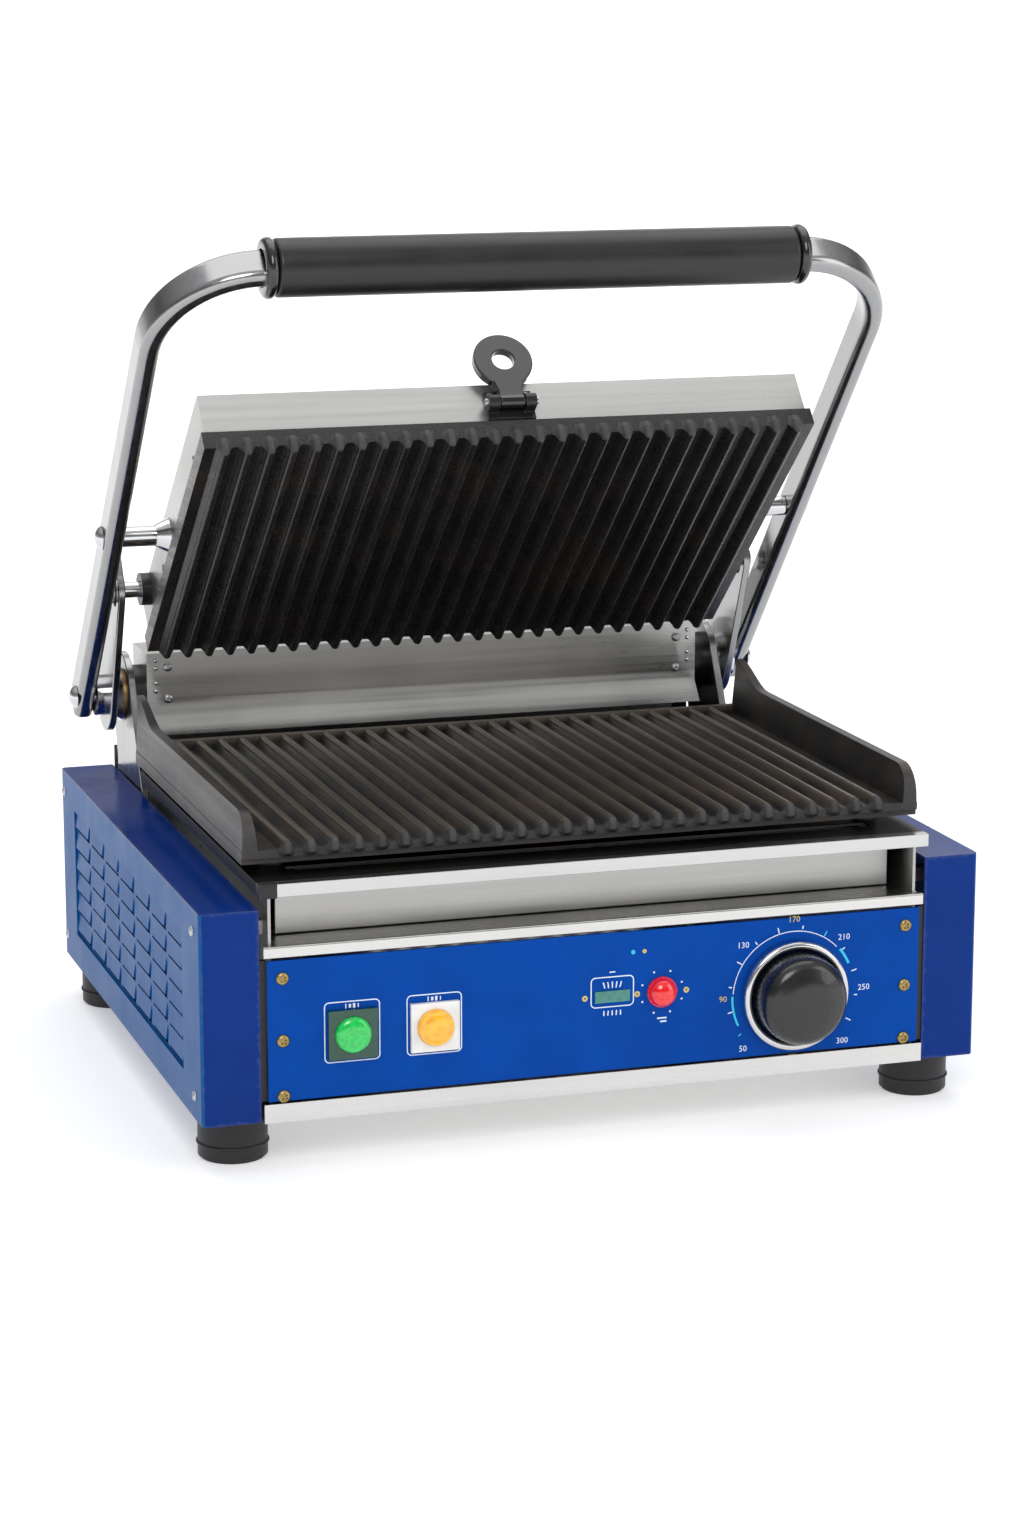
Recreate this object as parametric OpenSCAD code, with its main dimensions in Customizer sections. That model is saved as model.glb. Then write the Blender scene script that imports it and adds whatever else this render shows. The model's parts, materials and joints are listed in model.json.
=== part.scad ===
// Contact grill with a ribbed lower plate, a floating ribbed upper plate and a sprung handle.
// Millimetres, +Z up, +Y to the back. The origin is on the table under the middle of the base.

/* [Base] */
// Width over the two side panels
body_w = 410; // [360:1:500]
// Depth of the side panels
body_d = 345; // [330:1:420]
// Height of the side panels
body_h = 107.5; // [104:0.5:125]
// Width of a side panel's front face
side_w = 29.6; // [28:0.1:40]
// Radius of the side panels' outer upright edges
side_r = 3; // [1:0.5:6]
// Thickness of the folded sheet
sheet_t = 1.5; // [1:0.1:2]
// Diameter of a foot
foot_d = 35; // [28:0.5:40]
// Height of a foot
foot_h = 24; // [15:0.5:35]
// Height of the bright strip under the control panel
strip_h = 9.6; // [6:0.1:14]
// Columns of louvres in a side panel
louvre_cols = 7; // [4:1:8]
// Rows of louvres in a side panel
louvre_rows = 6; // [3:1:7]

/* [Deck and drip tray] */
// Height of the deck above the side panels
deck_rise = 12.9; // [8:0.1:20]
// Height of the deck's folded front lip
deck_lip = 6.4; // [4:0.1:9]
// Height of the opening for the drip tray
bay_h = 24.7; // [20:0.1:26]
// Height of the rounded nose of the tray shelf
nose_h = 5.9; // [4:0.1:8]
// How far the drip tray's face is set back
tray_inset = 22; // [10:0.5:40]
// Length of the drip tray, front to back
tray_len = 172; // [120:1:190]
// Depth of the drip tray's hollow
tray_h = 19; // [12:0.5:19]

/* [Controls] */
// Distance of the knob from the middle
knob_x = 103; // [90:1:120]
// Height of the knob and the two buttons above the feet
control_up = 42; // [40:0.5:46]
// Diameter of the knob
knob_d = 47; // [36:0.5:50]
// How far the knob stands out of the panel
knob_len = 25; // [18:0.5:30]
// Outer diameter of the ring round the knob
bezel_d = 57; // [54:0.5:62]
// Distance of the green button from the middle, to the left
green_x = 129.5; // [110:0.5:145]
// Distance of the orange button from the middle, to the left
orange_x = 87.5; // [50:0.5:95]
// Diameter of a push button
button_d = 18.5; // [12:0.5:19]
// Side of a push button's square frame
switch_w = 25; // [22:0.5:30]
// Travel of a push button
button_travel = 3; // [2:0.5:4]
// Distance of the red lamp from the middle
lamp_x = 32; // [26:0.5:45]
// Diameter of the lamp's lens
lamp_d = 16; // [10:0.5:18]
// Height of the lamp and the small window above the feet
lamp_up = 49; // [42:0.5:61]
// Width of the small window
window_w = 18.5; // [12:0.5:24]
// Height of the small window
window_h = 6; // [4:0.5:10]

/* [Lower plate] */
// How far the lower plate stands out over each side panel
plate_over = 3.2; // [-10:0.1:10]
// Depth of the lower plate
plate_d = 245.4; // [200:0.1:246]
// How far the lower plate's front is set back from the side panels' front
plate_inset = 19.1; // [15:0.1:30]
// Gap between the deck and the lower plate
plate_gap = 4.9; // [4:0.1:10]
// Thickness of the lower plate under its ribs
plate_t = 6.7; // [5:0.1:12]
// Height of the ribs of both plates
rib_h = 5; // [3:0.1:7]
// Distance from rib to rib
rib_pitch = 12; // [9:0.5:16]
// Radius of a rib's tip
rib_r = 2.2; // [1:0.1:2.6]
// Height of the lower plate's side walls above its ribs
wall_h = 14; // [8:0.5:16]
// Thickness of the side walls at their foot
wall_t = 8.6; // [6:0.1:10]

/* [Handle] */
// Angle of the arms above level when open
handle_open = 48.5; // [40:0.5:55]
// Angle that the handle turns to close
handle_travel = 45; // [40:0.5:48]
// Distance of the axle in front of the base's rear face
axle_in = 24.5; // [22:0.5:28]
// Height of the axle above the side panels
axle_rise = 45.5; // [42:0.5:55]
// Diameter of the axle
axle_d = 16; // [12:0.5:18]
// Distance of each arm's middle outside the side panels' inner edge
arm_gap = 19.6; // [19.6:0.1:50]
// Length of the arms, axle to grip
arm_len = 335; // [300:1:400]
// Distance of the arms' middle line from the axle
arm_off = 5; // [0:0.5:5]
// Width of the tube, across the arms
tube_w = 20; // [18:0.5:24]
// Thickness of the tube
tube_t = 10.5; // [8:0.5:11]
// Wall of the tube
tube_wall = 1.5; // [1:0.1:2]
// Radius of the tube's edges
tube_r = 4.2; // [3:0.1:5]
// Radius of the tube's bends
bend_r = 52; // [40:1:60]
// Diameter of the grip
grip_d = 29.5; // [26:0.5:36]
// Length of the grip
grip_len = 276; // [200:1:280]

/* [Upper plate] */
// Distance of the upper plate's cover inside the side panels' inner edge
cover_gap = 11; // [10.5:0.1:30]
// Depth of the cover
cover_d = 194; // [160:1:200]
// Height of the cover
cover_h = 24; // [22:0.5:40]
// How far the cover's front is from its pivot
cover_front = 112; // [90:1:120]
// How far the cast plate stands out past the cover
cast_out = 2.1; // [1:0.1:2.5]
// Thickness of the cast plate under its ribs
cast_t = 10; // [6:0.1:14]
// Gap between the ribs when closed
closed_gap = 2; // [1:0.5:8]
// Share of the handle's turn that the floating plate turns back
plate_follow = 0.078; // [0.05:0.001:0.12]
// Distance of the plate's pivot along the arms from the axle
pivot_along = 132; // [120:1:140]
// Diameter of the pivot rods
rod_d = 11; // [10:0.5:14]
// Distance of the rear stud behind the pivot
stud_back = 62; // [50:1:68]
// Diameter of the rear stud
stud_d = 9; // [6:0.5:10]

/* [Latch] */
// Diameter of the latch's ring
latch_d = 32; // [24:1:36]
// Diameter of the latch's eye
eye_d = 12; // [8:0.5:16]
// Distance from the latch's pin to its eye
latch_len = 25; // [22:1:32]
// Width of the latch's bracket
latch_w = 26; // [20:1:34]

/* [Hidden] */
$fn = 48;

// Clearances
run_clear = 0.05;     // a shaft that turns or slides in its bore
fit_clear = 0.02;     // a shank or bush that sits in its hole
move_clear = 0.3;     // pieces of different bodies that pass each other
hole_clear = 0.5;     // a screw in a clearance hole
eps = 0.01;

// Base
side_x = body_w / 2 - side_w;
half_d = body_d / 2;
side_top = foot_h + body_h;
control_z = foot_h + control_up;
lamp_z = foot_h + lamp_up;
deck_z = side_top + deck_rise;
deck_x = side_x + 0.2;
deck_front = half_d + 2.9;
upright_t = 4;
upright_in = side_x - 0.8 - upright_t;
cheek_x = upright_in;
shelf_z = deck_z - deck_lip - bay_h;
panel_w = 2 * (side_x - 3.4);
panel_y = half_d + sheet_t;
panel_z0 = foot_h + strip_h + 1;
panel_z1 = shelf_z - nose_h - 1.6;
screw_zs = [panel_z0 + 2.4, (panel_z0 + panel_z1) / 2 - 5, panel_z1 - 9];
screw_d = 3;
screw_head_d = 6.5;
foot_x = body_w / 2 - 21.5;
foot_y = half_d - 28;
foot_screw_d = 6;
rear_y = half_d;

// Lower plate
plate_w = 2 * (side_x + plate_over);
plate_y0 = -half_d + plate_inset;
plate_y1 = plate_y0 + plate_d;
plate_z = deck_z + plate_gap;
valley_z = plate_z + plate_t;
tip_z = valley_z + rib_h;
wall_top = tip_z + wall_h;
rib_count = floor((plate_w - 2 * wall_t - rib_pitch / 2) / rib_pitch);
element_r = 3.2;

// Axle and handle
arm_x = side_x + arm_gap;
axle_y = rear_y - axle_in;
axle_z = side_top + axle_rise;
axle_half = arm_x - tube_t / 2;
link_t = 4;
link_x = side_x + 5.1;
link_r = 20;
link_tip_r = 14;
bush_d = axle_d + 6;
bush_flange_t = 1;
arm_bolt_d = 6;

// Upper plate: the pivot at rest and closed, and the plate's own frame
function along(a) = [-cos(a), sin(a)];
function across(a) = [sin(a), cos(a)];
function turn(v, a) = [v.x * cos(a) - v.y * sin(a), v.x * sin(a) + v.y * cos(a)];
axle_p = [axle_y, axle_z];
pivot_rest = axle_p + pivot_along * along(handle_open) + arm_off * across(handle_open);
handle_closed = handle_open - handle_travel;
pivot_closed = axle_p + pivot_along * along(handle_closed) + arm_off * across(handle_closed);
plate_tilt = handle_travel * (1 - plate_follow);
seat_z = tip_z + closed_gap + rib_h + cast_t;
pivot_up = pivot_closed.y - seat_z;
cover_x = side_x - cover_gap;
cover_y0 = -cover_front;
cover_y1 = cover_d - cover_front;
cast_w = 2 * (cover_x + cast_out);
stud_up = 5;
stud_inner_d = stud_d - 3;
stud_rest = pivot_rest + turn([stud_back, stud_up], -plate_tilt);
slot_run = stud_back * sin(handle_travel * plate_follow);
slot_end = stud_rest - slot_run * across(plate_tilt);

// Latch, in the upper plate's frame
latch_pin_d = 4;
latch_t = 5;
latch_y = cover_y0 - 6;
latch_z = 9;

// ---------- shared shapes ----------

// A profile drawn in (y, z), from x0 on through the thickness t
module yz_slab(x0, t) translate([x0, 0, 0]) rotate([90, 0, 90]) linear_extrude(t) children();

// A profile drawn in (x, z), from y0 on through the depth d
module xz_slab(y0, d) translate([0, y0 + d, 0]) rotate([90, 0, 0]) linear_extrude(d) children();

// A round bar along X or Y
module bar_x(x0, x1, d) translate([x0, 0, 0]) rotate([0, 90, 0]) cylinder(h = x1 - x0, d = d);
module bar_y(y0, y1, d) translate([0, y0, 0]) rotate([-90, 0, 0]) cylinder(h = y1 - y0, d = d);

module ring_x(x0, x1, outer, inner) {
    difference() {
        bar_x(x0, x1, outer);
        bar_x(x0 - 1, x1 + 1, inner);
    }
}

module both_sides() {
    children();
    mirror([1, 0, 0]) children();
}

module at_axle() translate([0, axle_y, axle_z]) children();

// The arms' frame: local Z runs up the arms, local Y across them to the back
module arm_frame() at_axle() rotate([90 - handle_open, 0, 0]) children();

// The upper plate's frame: y = 0 at the pivot, z = 0 at the cover's lower edge
module plate_frame() {
    translate([0, pivot_rest.x, pivot_rest.y]) rotate([-plate_tilt, 0, 0])
        translate([0, 0, -pivot_up]) children();
}

module box(x0, x1, y0, y1, z0, z1) translate([x0, y0, z0]) cube([x1 - x0, y1 - y0, z1 - z0]);

module wide_box(half, y0, y1, z0, z1) box(-half, half, y0, y1, z0, z1);

// Two circles and the bar between them
module slot2d(a, b, r) {
    v = b - a;
    n = norm(v);
    w = n > eps ? [-v.y, v.x] / n * r : [0, 0];
    translate(a) circle(r);
    translate(b) circle(r);
    if (n > eps) polygon([a + w, b + w, b - w, a - w]);
}

// Points round an arc, in steps of about five degrees
function arc(c, r, a0, a1) = let (n = ceil(abs(a1 - a0) / 5))
    [for (i = [0 : n]) c + r * [cos(a0 + (a1 - a0) * i / n), sin(a0 + (a1 - a0) * i / n)]];

// The outline round two circles of different radius and their common tangents
function taper(a, ra, b, rb) = let (v = b - a, dir = atan2(v.y, v.x), open = acos((ra - rb) / norm(v)))
    concat(arc(a, ra, dir + open, dir + 360 - open), arc(b, rb, dir - open, dir + open));

// A rectangle with four round corners, centred
module round_rect2d(w, h, r) {
    square([w - 2 * r, h], center = true);
    square([w, h - 2 * r], center = true);
    for (sx = [-1, 1], sy = [-1, 1]) translate([sx * (w / 2 - r), sy * (h / 2 - r)]) circle(r);
}

// A domed screw head standing on z = 0 with its shank below
module dome_screw(head_d, head_h, shank_d, shank_l) {
    sphere_r = (head_d * head_d / 4 + head_h * head_h) / (2 * head_h);
    intersection() {
        translate([0, 0, head_h - sphere_r]) sphere(sphere_r);
        cylinder(h = head_h, d = head_d);
    }
    translate([0, 0, -shank_l]) cylinder(h = shank_l + eps, d = shank_d);
}

module facing_front(y) translate([0, y, 0]) rotate([90, 0, 0]) children();
module facing_right(x) translate([x, 0, 0]) rotate([0, 90, 0]) children();

// One rib of a cast plate, standing up from z = 0, in (x, z)
module rib2d() {
    foot = rib_pitch * 0.36;
    top = rib_h - rib_r;
    translate([0, top]) circle(rib_r);
    polygon([[-foot, -eps], [foot, -eps], [rib_r, top], [-rib_r, top]]);
}

module ribs2d(count) {
    for (i = [0 : count - 1]) translate([(i - (count - 1) / 2) * rib_pitch, 0]) rib2d();
}

// A heating element in its own plane: four runs along Y joined by half rings
module element(run_y0, run_y1, pitch) {
    r = pitch / 2;
    for (i = [0 : 3]) translate([(i - 1.5) * pitch, 0, 0]) bar_y(run_y0 - eps, run_y1 + eps, 2 * element_r);
    for (x = [-pitch, pitch]) translate([x, run_y0, 0]) rotate([0, 0, 180])
        rotate_extrude(angle = 180) translate([r, 0]) circle(element_r);
    translate([0, run_y1, 0]) rotate_extrude(angle = 180) translate([r, 0]) circle(element_r);
}

// ---------- base ----------

module side_outline(inset) {
    r = side_r - inset / 2;
    x1 = body_w / 2 - inset;
    y1 = half_d - inset;
    translate([side_x - inset, -y1]) square([x1 - side_x + inset - r, 2 * y1]);
    translate([side_x - inset, -y1 + r]) square([x1 - side_x + inset, 2 * (y1 - r)]);
    for (s = [-1, 1]) translate([x1 - r, s * (y1 - r)]) circle(r);
}

louvre_y0 = -half_d + 40;
louvre_y1 = half_d - 35.5;
louvre_z0 = foot_h + 18.5;
louvre_z1 = side_top - 17.5;
louvre_depth = 1.4;
louvre_skin = 1;
louvre_px = (louvre_y1 - louvre_y0) / louvre_cols;
louvre_pz = (louvre_z1 - louvre_z0) / louvre_rows;
louvre_gap = 2.6;
louvre_rib = 5;

module each_louvre() {
    for (c = [0 : louvre_cols - 1], r = [0 : louvre_rows - 1])
        translate([0, louvre_y0 + (c + 0.5) * louvre_px, louvre_z0 + r * louvre_pz + 1]) children();
}

// The pressed-in field of louvres, each a blade that leans out over its own slot
module louvre_field() {
    x1 = body_w / 2 - louvre_depth;
    blade = louvre_px - louvre_rib;
    difference() {
        box(x1 - louvre_skin, x1, louvre_y0 - 2, louvre_y1 + 2, louvre_z0 - 2, louvre_z1 + 2);
        each_louvre() box(x1 - louvre_skin - 1, x1 + 1, -blade / 2, blade / 2, 0, louvre_gap);
    }
    each_louvre() xz_blade(x1, blade);
}

module xz_blade(x1, blade) {
    z0 = louvre_gap;
    z1 = louvre_pz - 1.5;
    xz_slab(-blade / 2, blade)
        polygon([[x1 - louvre_skin / 2, z0], [x1 + louvre_depth - 0.2, z0], [x1, z1], [x1 - louvre_skin / 2, z1]]);
}

bracket_half = 3.5;
side_screw_spots = [for (y = [-half_d + 16, rear_y - 8], z = [foot_h + 12, side_top - 12]) [y, z]];

module side_panel() {
    difference() {
        union() {
            difference() {
                translate([0, 0, foot_h]) linear_extrude(body_h) side_outline(0);
                translate([0, 0, foot_h + sheet_t]) linear_extrude(body_h - 2 * sheet_t)
                    side_outline(sheet_t);
                box(body_w / 2 - sheet_t - 1, body_w / 2 + 1, louvre_y0, louvre_y1, louvre_z0, louvre_z1);
            }
            louvre_field();
        }
        for (s = [-1, 1]) translate([foot_x, s * foot_y, foot_h - 1])
            cylinder(h = sheet_t + 2, d = foot_screw_d + hole_clear);
        for (p = side_screw_spots) translate([0, p.x, p.y])
            bar_x(body_w / 2 - sheet_t - 1, body_w / 2 + 1, screw_d + hole_clear);
    }
}

module side_panel_left() color("royalblue") mirror([1, 0, 0]) side_panel();
module side_panel_right() color("royalblue") side_panel();

side_screw_l = 7;

module side_screws() {
    color("slategray") both_sides() for (p = side_screw_spots)
        translate([0, p.x, p.y]) facing_right(body_w / 2) dome_screw(5, 1.2, screw_d, side_screw_l);
}

// Two cheeks with flanges for the control panel and the rear panel, and brackets for the side panels
module chassis() {
    z0 = foot_h + sheet_t;
    z1 = deck_z - sheet_t;
    y0 = -half_d + sheet_t;
    y1 = rear_y - sheet_t;
    flange = 17;
    color("silver") both_sides() difference() {
        union() {
            box(cheek_x - sheet_t, cheek_x, y0, y1, z0, z1);
            box(cheek_x - flange, cheek_x, y0 - sheet_t, y0, panel_z0, panel_z1);
            box(cheek_x - flange, cheek_x, y1 - sheet_t, y1, z0, z1);
            box(cheek_x - flange, cheek_x, y0, y1, z0, z0 + sheet_t);
            for (p = side_screw_spots) box(cheek_x - eps, body_w / 2 - sheet_t,
                p.x - bracket_half, p.x + bracket_half, p.y - bracket_half, p.y + bracket_half);
        }
        for (p = side_screw_spots) translate([0, p.x, p.y])
            bar_x(body_w / 2 - side_screw_l - 2, body_w / 2 + 1, screw_d + 2 * fit_clear);
        for (z = screw_zs) translate([side_x - 11, 0, z])
            bar_y(y0 - sheet_t - 1, y0 + 1, screw_d + 2 * fit_clear);
        for (p = upright_holes) translate([0, p.x, p.y])
            bar_x(cheek_x - sheet_t - 1, cheek_x + 1, upright_bolt_d + 2 * fit_clear);
    }
}

// The floor, with its air slots and the bright strip folded up at the front
module bottom_plate() {
    x1 = side_x - 1;
    y0 = -half_d - 2.5;
    color("gainsboro") difference() {
        union() {
            wide_box(x1, y0, rear_y - sheet_t, foot_h, foot_h + sheet_t);
            wide_box(x1, y0, y0 + sheet_t, foot_h, foot_h + strip_h);
        }
        for (x = [-96 : 24 : 96], y = [-60, 40])
            translate([x, y, foot_h - 1]) linear_extrude(sheet_t + 2) slot2d([0, -25], [0, 25], 2.5);
    }
}

module rear_panel() {
    color("silver") difference() {
        wide_box(side_x - 1, rear_y - sheet_t, rear_y, foot_h, deck_z - sheet_t);
        translate([gland_x, 0, gland_z]) bar_y(rear_y - sheet_t - 1, rear_y + 1, gland_d + hole_clear);
        for (x = [-20 : 16 : 140], z = [foot_h + 34, foot_h + 74])
            xz_slab(rear_y - sheet_t - 1, sheet_t + 2) slot2d([x, z - 12], [x, z + 12], 2);
    }
}

deck_step = plate_y1 + 2;
element_bay = [plate_w / 2 - 38, plate_y0 + 28, plate_y1 - 28];

// The deck: folded lips, an opening over the heat shield and a drip slot behind the front edge
module top_deck() {
    z0 = deck_z - sheet_t;
    color("whitesmoke") difference() {
        union() {
            wide_box(deck_x, -deck_front, deck_step, z0, deck_z);
            wide_box(cheek_x, deck_step - eps, rear_y, z0, deck_z);
            wide_box(deck_x, -deck_front, -deck_front + sheet_t, deck_z - deck_lip, deck_z);
            both_sides() box(deck_x - sheet_t, deck_x, -deck_front, deck_step,
                deck_z - deck_lip, deck_z);
        }
        wide_box(element_bay[0], element_bay[1], element_bay[2], z0 - 1, deck_z + 1);
        wide_box(plate_w / 2 - 24, plate_y0 + 4, plate_y0 + 12, z0 - 1, deck_z + 1);
        for (p = post_spots, s = [-1, 1]) translate([s * p.x, p.y, z0 - 1])
            cylinder(h = sheet_t + 2, d = post_screw_d + hole_clear);
    }
}

// The shelf that carries the drip tray, with its rounded front nose
module tray_shelf() {
    nose_r = 1.2;
    nose_x = side_x - 1.6;
    y0 = -half_d - 2.5;
    color("gainsboro") {
        wide_box(cheek_x - sheet_t, -half_d + sheet_t, tray_y0 + tray_len + 6, shelf_z - sheet_t, shelf_z);
        yz_slab(-nose_x, 2 * nose_x) {
            translate([y0, shelf_z - nose_h]) square([sheet_t + 1, nose_h - nose_r]);
            translate([y0 + nose_r, shelf_z - nose_h]) square([sheet_t - half_d - y0 - nose_r, nose_h]);
            translate([y0 + nose_r, shelf_z - nose_r]) circle(nose_r);
        }
    }
}

module panel_hole(x, z, d) translate([x, 0, z]) bar_y(-panel_y - 1, -half_d + 1, d);

switch_body_d = button_d + 3.5;

module control_panel() {
    color("mediumblue") difference() {
        wide_box(panel_w / 2, -panel_y, -half_d, panel_z0, panel_z1);
        for (x = [-green_x, -orange_x]) panel_hole(x, control_z, switch_body_d + hole_clear);
        panel_hole(lamp_x, lamp_z, lamp_d - 4 + hole_clear);
        panel_hole(knob_x, control_z, knob_bush_d + hole_clear);
        box(window_x - window_w / 2, window_x + window_w / 2, -panel_y - 1, -half_d + 1,
            lamp_z - window_h / 2, lamp_z + window_h / 2);
        for (z = screw_zs, s = [-1, 1]) panel_hole(s * (side_x - 11), z, screw_d + hole_clear);
    }
}

module panel_screws() {
    color("darkgoldenrod") for (z = screw_zs, s = [-1, 1])
        translate([s * (side_x - 11), 0, z]) facing_front(-panel_y)
            dome_screw(screw_head_d, 1.3, screw_d, sheet_t * 2 + 4);
}

// ---------- feet ----------

module foot(sx, sy) {
    ridge_z = 8;
    bore_z = 12;
    color("black") translate([sx * foot_x, sy * foot_y, 0]) difference() {
        union() {
            cylinder(h = foot_h, d = foot_d);
            translate([0, 0, ridge_z]) rotate_extrude() translate([foot_d / 2, 0]) circle(0.8);
        }
        translate([0, 0, -1]) cylinder(h = bore_z + 1, d = 14);
        cylinder(h = foot_h + 1, d = foot_screw_d + hole_clear);
        rotate_extrude() translate([foot_d / 2, 0]) circle(1.5);
    }
}

module foot_front_left() foot(-1, -1);
module foot_front_right() foot(1, -1);
module foot_rear_left() foot(-1, 1);
module foot_rear_right() foot(1, 1);

module foot_screws() {
    color("silver") for (sx = [-1, 1], sy = [-1, 1]) translate([sx * foot_x, sy * foot_y, 0]) {
        translate([0, 0, 8]) cylinder(h = 4, d = 10);
        translate([0, 0, 12 - eps]) cylinder(h = foot_h - 6, d = foot_screw_d);
        translate([0, 0, foot_h + sheet_t]) cylinder(h = 4, d = 11);
    }
}

// ---------- lower plate and heating ----------

flare_len = 40;
flare_h = 12;
wall_nose_r = wall_h;

// Outline of a side wall in (y, z): a round nose, a level top, and a rise at the back
module wall_outline() {
    y0 = plate_y0 + wall_nose_r;
    rise = [for (t = [0 : 0.125 : 1])
        [plate_y1 - flare_len * (1 - t), wall_top + flare_h * (3 * t * t - 2 * t * t * t)]];
    translate([y0, tip_z]) circle(wall_nose_r);
    translate([plate_y0, plate_z]) square([wall_nose_r * 2, tip_z - plate_z]);
    translate([y0, plate_z]) square([plate_y1 - y0, wall_top - plate_z]);
    polygon(concat([[plate_y1, wall_top - 1], [plate_y1 - flare_len, wall_top - 1]], rise));
}

module side_wall() {
    x1 = plate_w / 2;
    top = wall_top + flare_h + 1;
    lean_in = 3.6;
    lean_out = 1.6;
    intersection() {
        xz_slab(plate_y0 - 1, plate_d + 2) polygon([[x1 - wall_t, plate_z], [x1, plate_z],
            [x1 - lean_out, top], [x1 - wall_t + lean_in, top]]);
        yz_slab(x1 - wall_t - 1, wall_t + 2) wall_outline();
    }
}

module lower_plate() {
    step_h = 3;
    step_y = 1.6;
    color([0.12, 0.12, 0.13]) difference() {
        union() {
            wide_box(plate_w / 2, plate_y0, plate_y1, plate_z, valley_z);
            translate([0, 0, valley_z]) xz_slab(plate_y0, plate_d) ribs2d(rib_count);
            wide_box(plate_w / 2 - 1, plate_y1 - 5, plate_y1, plate_z, tip_z);
            both_sides() side_wall();
        }
        wide_box(plate_w, plate_y0 - 1, plate_y0 + step_y, plate_z - 1, plate_z + step_h);
        for (p = post_spots, s = [-1, 1]) translate([s * p.x, p.y, plate_z - 1])
            cylinder(h = 1 + post_bore, d = post_screw_d + 2 * fit_clear);
    }
}

post_spots = [[plate_w / 2 - 20, plate_y0 + 22], [plate_w / 2 - 20, plate_y1 - 22]];
post_screw_d = 6;
post_bore = plate_t - 1.5;

module plate_posts() {
    color("gray") for (p = post_spots, s = [-1, 1]) translate([s * p.x, p.y, 0]) {
        translate([0, 0, deck_z]) cylinder(h = plate_gap, d = 12);
        translate([0, 0, deck_z - 10]) cylinder(h = 10 + plate_gap + post_bore - 0.3, d = post_screw_d);
        translate([0, 0, deck_z - sheet_t - 4]) cylinder(h = 4, d = 10);
    }
}

module lower_element() {
    run_y0 = plate_y0 + 78;
    run_y1 = plate_y1 - 84;
    pitch = 74;
    z = plate_z - element_r;
    color("dimgray") translate([0, 0, z]) {
        element(run_y0, run_y1, pitch);
        for (s = [-1, 1]) translate([s * 1.5 * pitch, 0, 0]) {
            bar_y(run_y1, run_y1 + 46, 2 * element_r);
            translate([0, run_y1 + 46, 0]) sphere(element_r);
            translate([0, run_y1 + 46, -26]) cylinder(h = 26, r = element_r);
        }
    }
}

// A shallow pan under the element
module heat_shield() {
    x1 = element_bay[0] + 6;
    y0 = element_bay[1] - 6;
    y1 = element_bay[2] + 6;
    z1 = deck_z - sheet_t;
    z0 = z1 - 5.6;
    t = 1;
    color("lightgray") difference() {
        wide_box(x1, y0, y1, z0, z1);
        wide_box(x1 - t, y0 + t, y1 - t, z0 + t, z1 + 1);
        for (s = [-1, 1]) translate([s * 111, plate_y1 - 38, z0 - 1]) cylinder(h = t + 2, d = 12);
    }
}

// ---------- controls ----------

knob_bush_d = 10;
shaft_d = 6;
window_x = lamp_x - 26.5;

module control_at(x, z) translate([x, -panel_y, z]) rotate([90, 0, 0]) children();

module thermostat() {
    color("tan") {
        translate([knob_x, 0, control_z]) bar_y(-panel_y - 3, -half_d + 4, knob_bush_d);
        box(knob_x - 20, knob_x + 20, -half_d + sheet_t, -half_d + 34, control_z - 18, control_z + 18);
        translate([knob_x, 0, control_z]) bar_y(-panel_y - knob_len + 8, -panel_y, shaft_d);
    }
}

module knob_bezel() {
    ring_h = 7;
    inner = knob_d / 2 + 0.8;
    outer = bezel_d / 2;
    r = (outer - inner) / 2;
    color("silver") control_at(knob_x, control_z) rotate_extrude() {
        translate([inner, 0]) square([outer - inner, ring_h - r]);
        translate([inner + r, ring_h - r]) circle(r);
    }
}

// The knob: a drum with fine grooves, a rounded face and a running bore for the shaft
module knob() {
    r = knob_d / 2;
    edge = 3;
    gap = 0.4;
    grooves = 36;
    color([0.05, 0.05, 0.05]) control_at(knob_x, control_z) difference() {
        translate([0, 0, gap]) union() {
            cylinder(h = knob_len - edge - gap, r = r);
            cylinder(h = knob_len - gap, r = r - edge);
            translate([0, 0, knob_len - edge - gap]) rotate_extrude() translate([r - edge, 0]) circle(edge);
        }
        translate([0, 0, -1]) cylinder(h = 1 + knob_len - 7.6, d = shaft_d + 2 * run_clear);
        translate([0, 0, -1]) cylinder(h = 5, d = knob_bush_d + 2);
        for (i = [0 : grooves - 1]) rotate(i * 360 / grooves) translate([r + 0.3, 0, 8])
            cylinder(h = knob_len - edge - 9, d = 1.6);
    }
}

switch_frame_t = 2.5;
stem_l = 12;

// A push-button switch: a square frame on the panel and a round body behind it
module switch_body(x) {
    body_l = 32;
    bore_l = stem_l + button_travel + 3;
    stem_bore = button_d + 2 * run_clear;
    control_at(x, control_z) difference() {
        union() {
            translate([-switch_w / 2, -switch_w / 2, 0]) cube([switch_w, switch_w, switch_frame_t]);
            translate([0, 0, -body_l]) cylinder(h = body_l + eps, d = switch_body_d);
        }
        translate([0, 0, -bore_l]) cylinder(h = bore_l + switch_frame_t + 1, d = stem_bore);
    }
}

module button(x) {
    proud = switch_frame_t + button_travel + 0.5;
    dome_h = 3.2;
    control_at(x, control_z) {
        translate([0, 0, -stem_l]) cylinder(h = stem_l + proud - dome_h, d = button_d);
        translate([0, 0, proud - dome_h - eps]) dome_screw(button_d, dome_h, button_d - 2, 1);
    }
}

module green_switch() color("darkgreen") switch_body(-green_x);
module orange_switch() color("white") switch_body(-orange_x);
module green_button() color("limegreen") button(-green_x);
module orange_button() color("orange") button(-orange_x);

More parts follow.
